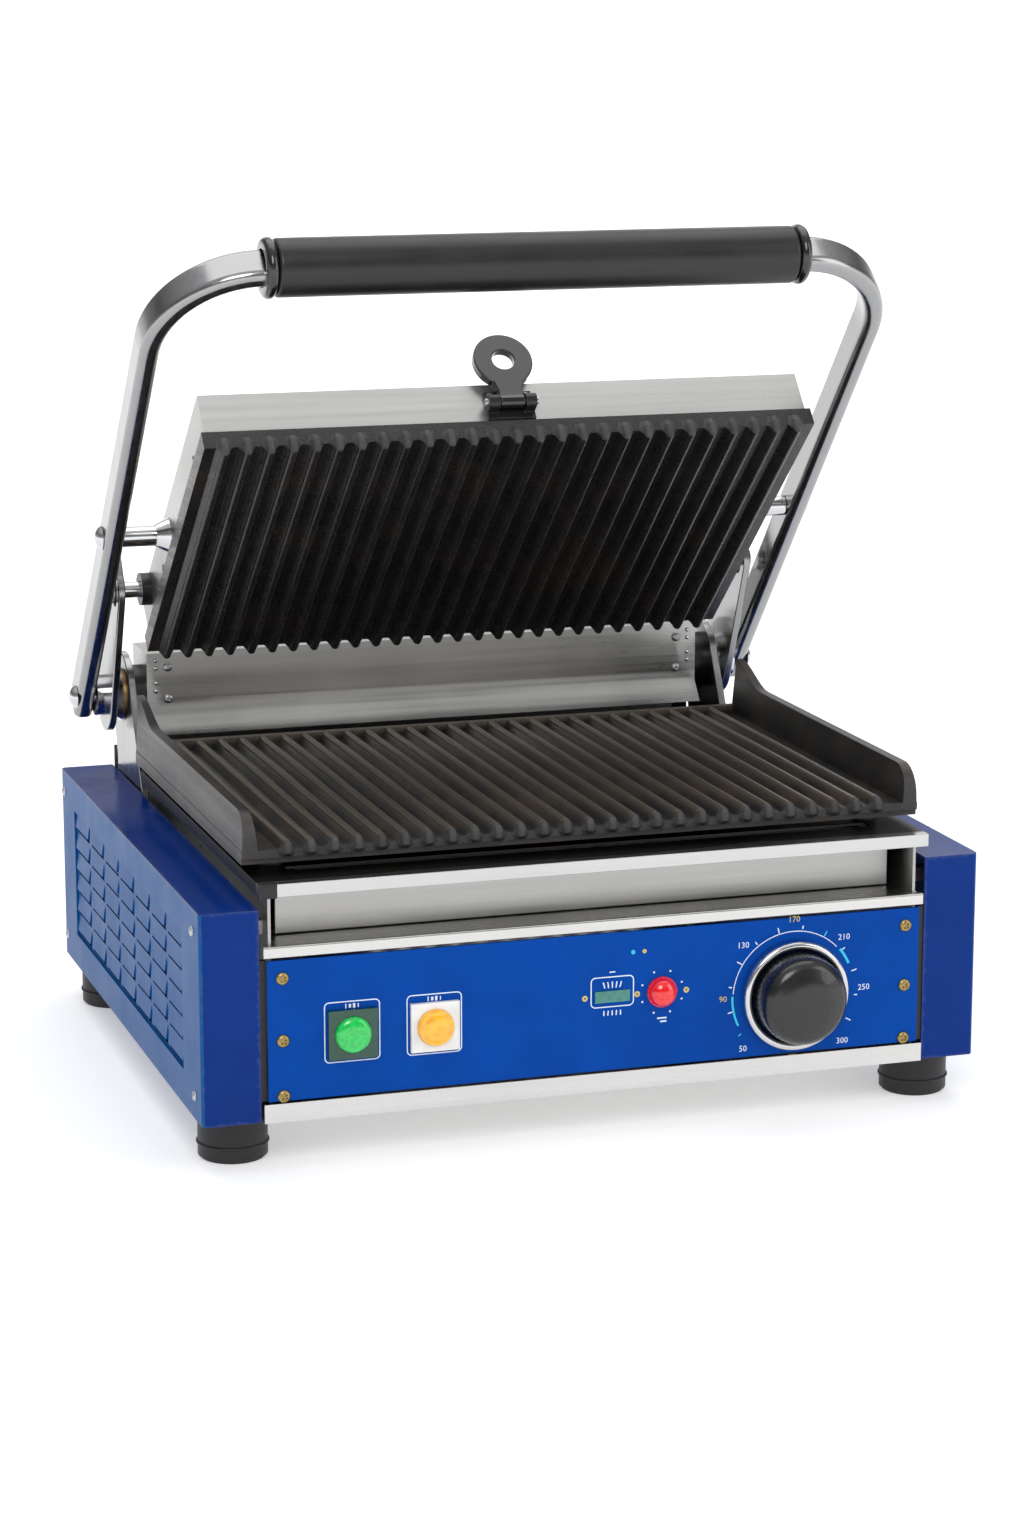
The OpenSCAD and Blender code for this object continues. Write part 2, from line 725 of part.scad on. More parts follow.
module lamp_lens() {
    color("red") control_at(lamp_x, lamp_z) {
        cylinder(h = 1.2, d = lamp_d);
        translate([0, 0, 1.2 - eps]) dome_screw(lamp_d, 5.5, lamp_d - 6, 1);
    }
}

module lamp_holder() {
    color("ivory") control_at(lamp_x, lamp_z) translate([0, 0, -26]) difference() {
        cylinder(h = 26, d = lamp_d - 4);
        translate([0, 0, 4]) cylinder(h = 23, d = lamp_d - 7);
    }
}

module display_window() {
    color("teal") box(window_x - window_w / 2 + fit_clear, window_x + window_w / 2 - fit_clear,
        -panel_y - 0.6, -half_d, lamp_z - window_h / 2 + fit_clear, lamp_z + window_h / 2 - fit_clear);
}

gland_x = -125;
gland_z = foot_h + 38;
gland_d = 20;
gland_out = knob_len + sheet_t;
cord_d = 9;

// The mains inlet: a threaded sleeve with a hexagonal body and a domed nut, empty
module cable_gland() {
    y = rear_y;
    color([0.1, 0.1, 0.1]) translate([gland_x, 0, gland_z]) difference() {
        union() {
            bar_y(y - 12, y + gland_out - 2, gland_d);
            translate([0, y, 0]) rotate([-90, 0, 0]) cylinder(h = 6, d = gland_d + 9, $fn = 6);
            bar_y(y + 8, y + gland_out, gland_d + 4);
            translate([0, y - sheet_t - 6, 0]) rotate([-90, 0, 0])
                cylinder(h = 6, d = gland_d + 9, $fn = 6);
        }
        bar_y(y - 13, y + gland_out + 1, cord_d);
    }
}

module terminal_block() {
    y = rear_y - 50;
    z = foot_h + sheet_t;
    color("ivory") difference() {
        box(gland_x - 25, gland_x + 25, y, y + 18, z, z + 20);
        for (i = [-1 : 1]) translate([gland_x + i * 15, y + 9, z + 6]) cylinder(h = 15, d = 6);
        for (i = [-1 : 1]) translate([gland_x + i * 15, 0, z + 10]) bar_y(y - 1, y + 19, 4);
    }
}

// ---------- uprights, axle and spring housing ----------

upright_r = 24;
upright_foot = foot_h + 30;
upright_y0 = plate_y1 + 5;
upright_y1 = rear_y - 12;
upright_bolt_d = 6;
upright_holes = [[upright_y0 + 12, upright_foot + 12], [upright_y1 - 12, upright_foot + 12],
    [upright_y0 + 28, side_top - 12]];

module upright() {
    difference() {
        yz_slab(upright_in, upright_t) polygon(concat(
            [[upright_y1, side_top + 8], [upright_y1, upright_foot], [upright_y0, upright_foot],
                [upright_y0, side_top]],
            arc(axle_p, upright_r, 162, -10)));
        at_axle() bar_x(upright_in - 1, upright_in + upright_t + 1, bush_d + 2 * fit_clear);
        for (p = upright_holes) translate([0, p.x, p.y])
            bar_x(upright_in - 1, upright_in + upright_t + 1, upright_bolt_d + hole_clear);
    }
}

module upright_left() color("lightgray") mirror([1, 0, 0]) upright();
module upright_right() color("lightgray") upright();

module upright_bolts() {
    color("silver") both_sides() for (p = upright_holes) translate([0, p.x, p.y]) {
        translate([upright_in + upright_t, 0, 0]) rotate([0, 90, 0]) cylinder(h = 4, d = 10, $fn = 6);
        bar_x(upright_in - 8, upright_in + upright_t + eps, upright_bolt_d);
        translate([cheek_x - sheet_t - 4, 0, 0]) rotate([0, 90, 0]) cylinder(h = 4, d = 10, $fn = 6);
    }
}

module axle_bushes() {
    x1 = upright_in + upright_t;
    color("goldenrod") both_sides() at_axle() difference() {
        union() {
            bar_x(upright_in, x1 + eps, bush_d);
            bar_x(x1, x1 + bush_flange_t, bush_d + 6);
        }
        bar_x(upright_in - 1, x1 + 2, axle_d + 2 * run_clear);
    }
}

housing_x = cheek_x - 7.6;
housing_t = 1.2;
housing_y0 = axle_y - 16;
housing_y1 = axle_y + 20;
housing_top = axle_z + 25;
housing_foot = axle_z - 9;
lip_drop = 11;
lip_run = 9;

// The spring cover: a folded channel open below, with a leaning front lip and drilled ends
module spring_housing() {
    t = housing_t;
    color("silver") {
        difference() {
            wide_box(housing_x, housing_y0, housing_y1, housing_foot, housing_top);
            wide_box(housing_x - t, housing_y0 + t, housing_y1 - t, housing_foot - 1, housing_top - t);
            at_axle() bar_x(-housing_x - 1, housing_x + 1, axle_d + 3);
            for (p = housing_screw_spots) translate([p.x, 0, p.y])
                bar_y(housing_y0 - 1, housing_y0 + t + 1, screw_d + hole_clear);
        }
        yz_slab(-housing_x, 2 * housing_x) polygon([[housing_y0, housing_foot],
            [housing_y0 + t, housing_foot], [housing_y0 + t - lip_run, housing_foot - lip_drop],
            [housing_y0 - lip_run, housing_foot - lip_drop]]);
        wide_box(housing_x, housing_y1 - t, housing_y1, deck_z, housing_foot + eps);
    }
}

housing_screw_spots = [for (s = [-1, 1], z = [housing_foot + 8, housing_top - 8]) [s * (housing_x - 12), z]];

module housing_screws() {
    color("darkgray") for (p = housing_screw_spots)
        translate([p.x, 0, p.y]) facing_front(housing_y0) dome_screw(5.5, 1.4, screw_d, 5);
}

// Black end rings that join the housing to the uprights round the axle
module spring_hubs() {
    color([0.1, 0.1, 0.1]) both_sides() at_axle() ring_x(housing_x, upright_in, 32, axle_d + 3);
}

coil_r = axle_d / 2 + 3.6;
wire_r = 1.5;
coil_turns = 14;
coil_x = 62;

// Route of a torsion spring's wire: a straight leg, the coil along X, and a second leg
function spring_path(steps) = concat(
    [[coil_x, coil_r, -22]],
    [for (i = [0 : steps]) let (a = 360 * coil_turns * i / steps)
        [coil_x + coil_turns * (2 * wire_r + 0.4) * i / steps, coil_r * cos(a), coil_r * sin(a)]],
    [[coil_x + coil_turns * (2 * wire_r + 0.4), coil_r, 20]]);

// A round wire swept along a route
module wire(path, r, sides) {
    n = len(path);
    function ahead(i) = path[min(i + 1, n - 1)] - path[max(i - 1, 0)];
    function side_of(i) = let (d = ahead(i) / norm(ahead(i)), s = cross(d, [1, 0, 0])) s / norm(s);
    function up_of(i) = let (d = ahead(i) / norm(ahead(i))) cross(side_of(i), d);
    points = [for (i = [0 : n - 1], k = [0 : sides - 1])
        path[i] + r * (cos(360 * k / sides) * side_of(i) + sin(360 * k / sides) * up_of(i))];
    walls = [for (i = [0 : n - 2], k = [0 : sides - 1]) let (j = (k + 1) % sides)
        [i * sides + k, (i + 1) * sides + k, (i + 1) * sides + j, i * sides + j]];
    first = [for (k = [0 : sides - 1]) k];
    last = [for (k = [sides - 1 : -1 : 0]) (n - 1) * sides + k];
    polyhedron(points, concat(walls, [first, last]));
}

module spring() at_axle() wire(spring_path(coil_turns * 14), wire_r, 8);

module spring_left() color("darkslategray") mirror([1, 0, 0]) spring();
module spring_right() color("darkslategray") spring();

// ---------- handle ----------

module tube_section(shrink) {
    round_rect2d(tube_t - 2 * shrink, tube_w - 2 * shrink, tube_r - shrink);
}

// The bent tube in the arms' frame, swept from the given section
module handle_path(shrink, foot_cut) {
    z1 = arm_len - bend_r;
    both_sides() {
        translate([arm_x, arm_off, foot_cut]) linear_extrude(z1 - foot_cut) tube_section(shrink);
        translate([arm_x - bend_r, arm_off, z1]) rotate([90, 0, 0]) rotate_extrude(angle = 90)
            translate([bend_r, 0]) tube_section(shrink);
    }
    translate([bend_r - arm_x, arm_off, arm_len]) rotate([0, 90, 0])
        linear_extrude(2 * (arm_x - bend_r)) tube_section(shrink);
}

arm_foot = -13;

module handle_tube() {
    color("silver") arm_frame() difference() {
        handle_path(0, arm_foot);
        handle_path(tube_wall, arm_foot + 3);
        both_sides() {
            bar_x(arm_x - tube_t, arm_x + tube_t, arm_bolt_d + 2 * fit_clear);
            translate([0, arm_off, pivot_along])
                bar_x(arm_x - tube_t, arm_x + tube_t, pivot_bolt_d + 2 * run_clear);
        }
    }
}

grip_cap_t = 6;

module grip() {
    color([0.08, 0.08, 0.08]) arm_frame() translate([-grip_len / 2, arm_off, arm_len])
        rotate([0, 90, 0]) linear_extrude(grip_len) difference() {
            circle(d = grip_d);
            tube_section(-fit_clear);
        }
}

module grip_caps() {
    color([0.03, 0.03, 0.03]) arm_frame() both_sides()
        translate([grip_len / 2, arm_off, arm_len]) rotate([0, 90, 0]) linear_extrude(grip_cap_t)
            difference() {
                circle(d = grip_d + 1.6);
                cap_bore();
            }
}

// The caps' bore leaves room for the start of the tube's bend
module cap_bore() square([tube_t + 2, tube_w + 0.2], center = true);

module axle() {
    color("silver") at_axle() difference() {
        bar_x(-axle_half, axle_half, axle_d);
        both_sides() bar_x(axle_half - 16, axle_half + 1, arm_bolt_d + 2 * fit_clear);
    }
}

bolt_head_d = 13;
bolt_head_h = 4;

module arm_bolt(shank_d, shank_l, gap) {
    facing_right(arm_x + tube_t / 2 + gap) dome_screw(bolt_head_d, bolt_head_h - gap, shank_d, shank_l);
}

module axle_bolts() color("gainsboro") both_sides() at_axle() arm_bolt(arm_bolt_d, tube_t + 14, 0);

module axle_collars() {
    x0 = upright_in + upright_t + bush_flange_t + move_clear;
    color("silver") both_sides() at_axle() difference() {
        union() {
            translate([x0, 0, 0]) rotate([0, 90, 0])
                cylinder(h = link_x - x0, d1 = axle_d + 14, d2 = axle_d + 8);
            bar_x(link_x + link_t, axle_half, axle_d + 7);
        }
        bar_x(x0 - 1, link_x, axle_d + 2 * fit_clear);
        bar_x(link_x, axle_half + 1, axle_d + 2 * fit_clear);
    }
}

// A blade clamped on the axle, with a short slot in which the upper plate's rear stud floats
module swing_link() {
    slot_r = stud_d / 2 + 0.4;
    top = stud_rest + 0.6 * across(plate_tilt);
    low = slot_end - 0.6 * across(plate_tilt);
    tip = stud_rest + 22 * along(100);
    difference() {
        union() {
            yz_slab(link_x, link_t) polygon(taper(axle_p, link_r, stud_rest, link_tip_r));
            yz_slab(link_x, link_t) polygon(taper(stud_rest, link_tip_r - 0.5, tip, 6));
        }
        at_axle() bar_x(link_x - 1, link_x + link_t + 1, axle_d + 2 * fit_clear);
        yz_slab(link_x - 1, link_t + 2) slot2d(top, low, slot_r);
    }
}

module swing_link_left() color("lightgray") mirror([1, 0, 0]) swing_link();
module swing_link_right() color("lightgray") swing_link();

// ---------- upper plate ----------

pivot_bolt_d = 7;
cover_t = 1.5;

module upper_cover() {
    color("gainsboro") plate_frame() difference() {
        wide_box(cover_x, cover_y0, cover_y1, 0, cover_h);
        wide_box(cover_x - cover_t, cover_y0 + cover_t, cover_y1 - cover_t, -1, cover_h - cover_t);
        both_sides() {
            translate([0, 0, pivot_up]) bar_x(cover_x - 5, cover_x + 1, rod_inner_d + 2 * fit_clear);
            translate([0, stud_back, pivot_up + stud_up])
                bar_x(cover_x - 5, cover_x + 1, stud_inner_d + 2 * fit_clear);
            for (y = cover_screw_ys) translate([0, y, cover_screw_z])
                bar_x(cover_x - 5, cover_x + 1, screw_d + hole_clear);
        }
    }
}

cover_screw_ys = [cover_y0 + 30, cover_y1 - 60];
cover_screw_z = 5;
lug_t = 5;

module upper_plate() {
    cast_ribs = floor((cast_w - rib_pitch / 2) / rib_pitch);
    lug_x = cover_x - cover_t;
    color([0.1, 0.1, 0.11]) plate_frame() difference() {
        union() {
            wide_box(cast_w / 2, cover_y0 - cast_out, cover_y1 + cast_out, -cast_t, 0);
            mirror([0, 0, 1]) translate([0, 0, cast_t])
                xz_slab(cover_y0 - cast_out, cover_d + 2 * cast_out) ribs2d(cast_ribs);
            both_sides() for (y = cover_screw_ys)
                box(lug_x - lug_t, lug_x, y - 6, y + 6, -eps, cover_screw_z + 5);
        }
        both_sides() for (y = cover_screw_ys) translate([0, y, cover_screw_z])
            bar_x(lug_x - lug_t - 1, lug_x + 1, screw_d + 2 * fit_clear);
    }
}

module cover_screws() {
    color("silver") plate_frame() both_sides() for (y = cover_screw_ys)
        translate([0, y, cover_screw_z]) facing_right(cover_x) dome_screw(4.5, 1, screw_d, 6);
}

module upper_element() {
    color("dimgray") plate_frame() translate([0, 0, element_r]) {
        element(cover_y0 + 58, cover_y1 - 58, 72);
        for (s = [-1, 1]) translate([s * 108, 0, 0]) {
            bar_y(cover_y1 - 58, cover_y1 - 40, 2 * element_r);
            translate([0, cover_y1 - 40, 0]) sphere(element_r);
            translate([0, cover_y1 - 40, 0]) cylinder(h = 12, r = element_r);
        }
    }
}

rod_inner_d = rod_d - 1.5;
rod_boss_d = 19;
rod_boss_h = 7;

module at_pivot() plate_frame() translate([0, 0, pivot_up]) children();

// Short rods from the cover's sides to the arms, each with a flared foot and a tapped end
module pivot_rods() {
    x1 = axle_half - move_clear;
    color("silver") both_sides() at_pivot() difference() {
        union() {
            bar_x(cover_x - 8, cover_x + eps, rod_inner_d);
            translate([cover_x, 0, 0]) rotate([0, 90, 0])
                cylinder(h = rod_boss_h, d1 = rod_boss_d, d2 = rod_d + 1);
            bar_x(cover_x, x1, rod_d);
        }
        bar_x(x1 - 14, x1 + 1, pivot_bolt_d + 2 * fit_clear);
    }
}

module pivot_bolts() {
    color("gainsboro") both_sides() at_pivot()
        arm_bolt(pivot_bolt_d, tube_t + 12, move_clear);
}

module at_stud() plate_frame() translate([0, stud_back, pivot_up + stud_up]) children();

module rear_studs() {
    x1 = link_x + link_t + 0.5;
    color("silver") both_sides() at_stud() {
        bar_x(cover_x - 8, cover_x + eps, stud_inner_d);
        bar_x(cover_x, x1, stud_d);
        bar_x(x1 - eps, x1 + 2.5, stud_d + 5);
        bar_x(cover_x - cover_t - 4, cover_x - cover_t, stud_inner_d + 4.5);
    }
}

module stud_bushes() {
    color([0.05, 0.05, 0.05]) both_sides() at_stud() ring_x(cover_x, cover_x + 5.5, 18, stud_d + 2 * fit_clear);
}

// ---------- latch ----------

knuckle_w = 6;
barrel_d = 8;

module latch_bracket() {
    plate_t2 = 2;
    inner = latch_w / 2 - knuckle_w;
    color([0.06, 0.06, 0.06]) plate_frame() difference() {
        union() {
            wide_box(latch_w / 2, cover_y0 - plate_t2, cover_y0, 1, 18);
            both_sides() {
                translate([0, latch_y, latch_z]) bar_x(inner, latch_w / 2, barrel_d);
                box(inner, latch_w / 2, latch_y, cover_y0 - eps, latch_z - barrel_d / 2, latch_z + 2);
            }
        }
        translate([0, latch_y, latch_z]) bar_x(-latch_w, latch_w, latch_pin_d + 2 * fit_clear);
    }
}

module latch_pin() {
    color("gray") plate_frame() translate([0, latch_y, latch_z])
        bar_x(-latch_w / 2 - 1.5, latch_w / 2 + 1.5, latch_pin_d);
}

// The ring tab: a barrel on the pin, a neck and a ring with an eye
module latch_tab() {
    inner = latch_w / 2 - knuckle_w - move_clear;
    neck = 9.5;
    barrel_small = barrel_d - 1.2;
    color([0.04, 0.04, 0.04]) plate_frame() difference() {
        union() {
            translate([0, latch_y, latch_z]) bar_x(-inner, inner, barrel_small);
            xz_slab(latch_y - latch_t / 2, latch_t) {
                translate([-inner, latch_z]) square([2 * inner, 7]);
                translate([0, latch_z]) polygon([[-inner, 6], [inner, 6], [neck, latch_len - 9],
                    [-neck, latch_len - 9]]);
                translate([0, latch_z + latch_len]) circle(d = latch_d);
            }
        }
        translate([0, latch_y, latch_z]) bar_x(-latch_w, latch_w, latch_pin_d + 2 * run_clear);
        translate([0, latch_y - latch_t, latch_z + latch_len]) rotate([-90, 0, 0])
            cylinder(h = 2 * latch_t, d = eye_d);
    }
}

// ---------- drip tray ----------

tray_y0 = -deck_front + tray_inset;
tray_wall = 1.2;
tray_x = cheek_x - sheet_t - 6.5;

module drip_tray() {
    z0 = shelf_z + 0.4;
    y1 = tray_y0 + tray_len;
    color("lightgray") {
        difference() {
            wide_box(tray_x - 2, tray_y0, y1, z0, z0 + tray_h);
            wide_box(tray_x - 2 - tray_wall, tray_y0 + tray_wall, y1 - tray_wall, z0 + tray_wall,
                z0 + tray_h + 1);
        }
        wide_box(tray_x, tray_y0 - eps, tray_y0 + tray_wall, z0, shelf_z + bay_h - 0.6);
    }
}

chassis();
bottom_plate();
side_panel_left();
side_panel_right();
rear_panel();
top_deck();
tray_shelf();
control_panel();
panel_screws();
side_screws();
foot_front_left();
foot_front_right();
foot_rear_left();
foot_rear_right();
foot_screws();
lower_plate();
lower_element();
heat_shield();
plate_posts();
thermostat();
knob_bezel();
green_switch();
orange_switch();
lamp_lens();
lamp_holder();
display_window();
terminal_block();
cable_gland();
upright_left();
upright_right();
upright_bolts();
axle_bushes();
spring_housing();
housing_screws();
spring_left();
spring_right();
spring_hubs();
handle_tube();
grip();
grip_caps();
axle();
axle_bolts();
axle_collars();
swing_link_left();
swing_link_right();
upper_cover();
upper_plate();
upper_element();
pivot_rods();
pivot_bolts();
rear_studs();
stud_bushes();
latch_bracket();
latch_pin();
latch_tab();
knob();
green_button();
orange_button();
drip_tray();
cover_screws();
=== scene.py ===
"""Contact grill: finishes, detail pieces, studio and camera round the fixed frame. Units are metres."""

import json
import logging
import math
from dataclasses import dataclass, field
from enum import Enum
from functools import lru_cache
from typing import Callable, Iterable, Sequence

import bmesh
import bpy
from bmesh.types import BMesh, BMFace, BMVert
from mathutils import Matrix, Vector


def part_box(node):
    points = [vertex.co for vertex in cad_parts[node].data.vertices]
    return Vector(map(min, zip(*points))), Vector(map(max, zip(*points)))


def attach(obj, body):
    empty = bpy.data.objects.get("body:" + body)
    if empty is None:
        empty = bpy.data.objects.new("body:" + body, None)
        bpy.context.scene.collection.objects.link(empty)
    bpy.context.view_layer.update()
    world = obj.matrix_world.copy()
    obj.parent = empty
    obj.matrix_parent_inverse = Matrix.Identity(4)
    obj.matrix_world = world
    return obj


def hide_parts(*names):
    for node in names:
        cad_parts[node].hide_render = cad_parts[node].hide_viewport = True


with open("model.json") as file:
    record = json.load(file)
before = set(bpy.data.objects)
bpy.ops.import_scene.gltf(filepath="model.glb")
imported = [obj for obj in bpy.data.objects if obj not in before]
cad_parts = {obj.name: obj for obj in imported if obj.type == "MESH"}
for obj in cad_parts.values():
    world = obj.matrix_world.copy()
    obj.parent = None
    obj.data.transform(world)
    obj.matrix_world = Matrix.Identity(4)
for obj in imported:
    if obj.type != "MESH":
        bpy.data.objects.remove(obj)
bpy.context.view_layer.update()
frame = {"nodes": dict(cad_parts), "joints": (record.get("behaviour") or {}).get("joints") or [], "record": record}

log = logging.getLogger("grill")

Colour = tuple[float, float, float]
Point = tuple[float, float, float]
MM = 0.001
WELD = 2e-6  # CAD vertices nearer than this are one
# Dark colour painted on the deck behind its front band: painted shade and painted reflection of the black plate
# above.
PAINTED_SHADE = (0.035, 0.032, 0.029)
# Lighter brown iron painted on the rib tips: partly worn iron, partly a painted highlight.
WORN_IRON_AND_HIGHLIGHT = (0.2, 0.17, 0.135)


# ---------- finishes ----------


class Grain(Enum):
    """The way a metal was brushed or a moulding runs.

    Each is the scale of its pattern along X, Y and Z, and a turn about that way, which keeps the pattern's
    own cells off the surfaces.
    """

    ALONG_X = ((0.02, 1.0, 1.0), (0.65, 0.0, 0.0))
    ALONG_Y = ((1.0, 0.02, 1.0), (0.0, 0.65, 0.0))
    ALONG_Z = ((1.0, 1.0, 0.02), (0.0, 0.0, 0.65))
    NONE = ((1.0, 1.0, 1.0), (0.5, 0.6, 0.7))


class Wiring:
    """One material's node tree, wired a few nodes at a time."""

    # The Mix node's sockets that carry colours.
    MIX_SHARE, MIX_FIRST, MIX_SECOND, MIX_RESULT = 0, 6, 7, 2

    def __init__(self, name: str) -> None:
        """Starts a material.

        Args:
            name: The material's name.
        """
        self.material = bpy.data.materials.new(f"{name}_finish")
        self.material.use_nodes = True
        self.tree = self.material.node_tree
        self.shader = self.tree.nodes["Principled BSDF"]
        self.coords = self.tree.nodes.new("ShaderNodeTexCoord").outputs["Object"]

    def wire(self, source: bpy.types.NodeSocket, target: bpy.types.NodeSocket) -> None:
        """Joins two sockets."""
        self.tree.links.new(source, target)

    def stretched(self, grain: Grain) -> bpy.types.NodeSocket:
        """Object coordinates drawn out along a grain.

        Args:
            grain: The grain.

        Returns:
            The vector socket.
        """
        node = self.tree.nodes.new("ShaderNodeMapping")
        node.inputs["Scale"].default_value, node.inputs["Rotation"].default_value = grain.value
        self.wire(self.coords, node.inputs["Vector"])
        return node.outputs["Vector"]

    def noise(self, scale: float, detail: float = 3.0, rough: float = 0.55,
              vector: bpy.types.NodeSocket | None = None) -> bpy.types.NodeSocket:
        """A noise pattern.

        Args:
            scale: Features per metre.
            detail: Octaves.
            rough: Share that each finer octave keeps.
            vector: Where the pattern is read; object coordinates when None.

        Returns:
            The value socket.
        """
        node = self.tree.nodes.new("ShaderNodeTexNoise")
        node.inputs["Scale"].default_value = scale
        node.inputs["Detail"].default_value = detail
        node.inputs["Roughness"].default_value = rough
        self.wire(vector or self.coords, node.inputs["Vector"])
        return node.outputs["Fac"]

    def cells(self, scale: float) -> bpy.types.NodeSocket:
        """The distance to the nearest grain of a scattered pattern.

        Args:
            scale: Grains per metre.

        Returns:
            The value socket.
        """
        node = self.tree.nodes.new("ShaderNodeTexVoronoi")
        node.inputs["Scale"].default_value = scale
        self.wire(self.coords, node.inputs["Vector"])
        return node.outputs["Distance"]

    def span(self, value: bpy.types.NodeSocket, old: tuple[float, float],
             new: tuple[float, float]) -> bpy.types.NodeSocket:
        """Maps one range of a value on another, clamped.

        Args:
            value: The value socket.
            old: Range that is read.
            new: Range that is written.

        Returns:
            The mapped value socket.
        """
        node = self.tree.nodes.new("ShaderNodeMapRange")
        self.wire(value, node.inputs["Value"])
        for socket, number in zip(("From Min", "From Max", "To Min", "To Max"), (*old, *new)):
            node.inputs[socket].default_value = number
        return node.outputs["Result"]

    def maths(self, operation: str, a: bpy.types.NodeSocket,
              b: bpy.types.NodeSocket | float) -> bpy.types.NodeSocket:
        """Joins two values by one arithmetic step.

        Args:
            operation: A Math node's operation.
            a: The first value.
            b: The second value, a socket or a number.

        Returns:
            The result's socket.
        """
        node = self.tree.nodes.new("ShaderNodeMath")
        node.operation = operation
        self.wire(a, node.inputs[0])
        if isinstance(b, (int, float)):
            node.inputs[1].default_value = b
        else:
            self.wire(b, node.inputs[1])
        return node.outputs["Value"]

    def unsigned(self, value: bpy.types.NodeSocket) -> bpy.types.NodeSocket:
        """A value without its sign."""
        return self.maths("ABSOLUTE", value, 0.0)

    def line(self, value: bpy.types.NodeSocket, slope: float, start: float) -> bpy.types.NodeSocket:
        """A value times one number plus another.

        Args:
            value: The value socket.
            slope: What it is multiplied by.
            start: What is added.

        Returns:
            The result's socket.
        """
        result = self.maths("MULTIPLY_ADD", value, slope)
        result.node.inputs[2].default_value = start
        return result

    def axis(self, name: str) -> bpy.types.NodeSocket:
        """One of the object coordinates.

        Args:
            name: X, Y or Z.

        Returns:
            The value socket.
        """
        node = self.tree.nodes.new("ShaderNodeSeparateXYZ")
        self.wire(self.coords, node.inputs["Vector"])
        return node.outputs[name]

    def tint(self, share: bpy.types.NodeSocket, dark: Colour, light: Colour) -> bpy.types.NodeSocket:
        """A colour between two, by a value from 0 to 1.

        Args:
            share: The value socket.
            dark: Colour at 0.
            light: Colour at 1.

        Returns:
            The colour socket.
        """
        node = self.tree.nodes.new("ShaderNodeMix")
        node.data_type = "RGBA"
        self.wire(share, node.inputs[self.MIX_SHARE])
        node.inputs[self.MIX_FIRST].default_value = (*dark, 1)
        node.inputs[self.MIX_SECOND].default_value = (*light, 1)
        return node.outputs[self.MIX_RESULT]

    def over(self, under: bpy.types.NodeSocket, share: bpy.types.NodeSocket,
             colour: Colour) -> bpy.types.NodeSocket:
        """Lays a plain colour over another.

        Args:
            under: The colour below.
            share: How much of the plain colour shows, 0 to 1.
            colour: The plain colour.

        Returns:
            The colour socket.
        """
        mixed = self.tint(share, (0, 0, 0), colour)
        self.wire(under, mixed.node.inputs[self.MIX_FIRST])
        return mixed

    def bump(self, height: bpy.types.NodeSocket, strength: float, depth: float,
             under: bpy.types.NodeSocket | None = None) -> bpy.types.NodeSocket:
        """Turns a value into relief.

        Args:
            height: The value socket.
            strength: Share of the relief that shows, 0 to 1.
            depth: Height of the relief in metres.
            under: A normal that this relief lies on.

        Returns:
            The normal socket.
        """
        node = self.tree.nodes.new("ShaderNodeBump")
        node.inputs["Strength"].default_value = strength
        node.inputs["Distance"].default_value = depth
        self.wire(height, node.inputs["Height"])
        if under is not None:
            self.wire(under, node.inputs["Normal"])
        return node.outputs["Normal"]

    def close(self, colour: bpy.types.NodeSocket, roughness: bpy.types.NodeSocket,
              normal: bpy.types.NodeSocket, **fixed: float) -> bpy.types.Material:
        """Wires the shader's main sockets and sets its fixed ones.

        Args:
            colour: Base colour socket.
            roughness: Roughness socket.
            normal: Normal socket.
            **fixed: Other inputs of the shader, with underscores for spaces.

        Returns:
            The finished material.
        """
        self.wire(colour, self.shader.inputs["Base Color"])
        self.wire(roughness, self.shader.inputs["Roughness"])
        self.wire(normal, self.shader.inputs["Normal"])
        for name, value in fixed.items():
            self.shader.inputs[name.replace("_", " ")].default_value = value
        return self.material


def shade(colour: Colour, factor: float) -> Colour:
    """The colour made darker or lighter by a factor."""
    return tuple(min(1.0, c * factor) for c in colour)


@dataclass(frozen=True)
class Finish:
    """What every finish has: a name, a colour and a roughness."""

    name: str
    colour: Colour
    roughness: float

    def make(self) -> bpy.types.Material:
        """Builds the node tree; each kind of finish has its own."""
        raise NotImplementedError

    @lru_cache(maxsize=None)
    def material(self) -> bpy.types.Material:
        """The finish's one shared material."""
        return self.make()


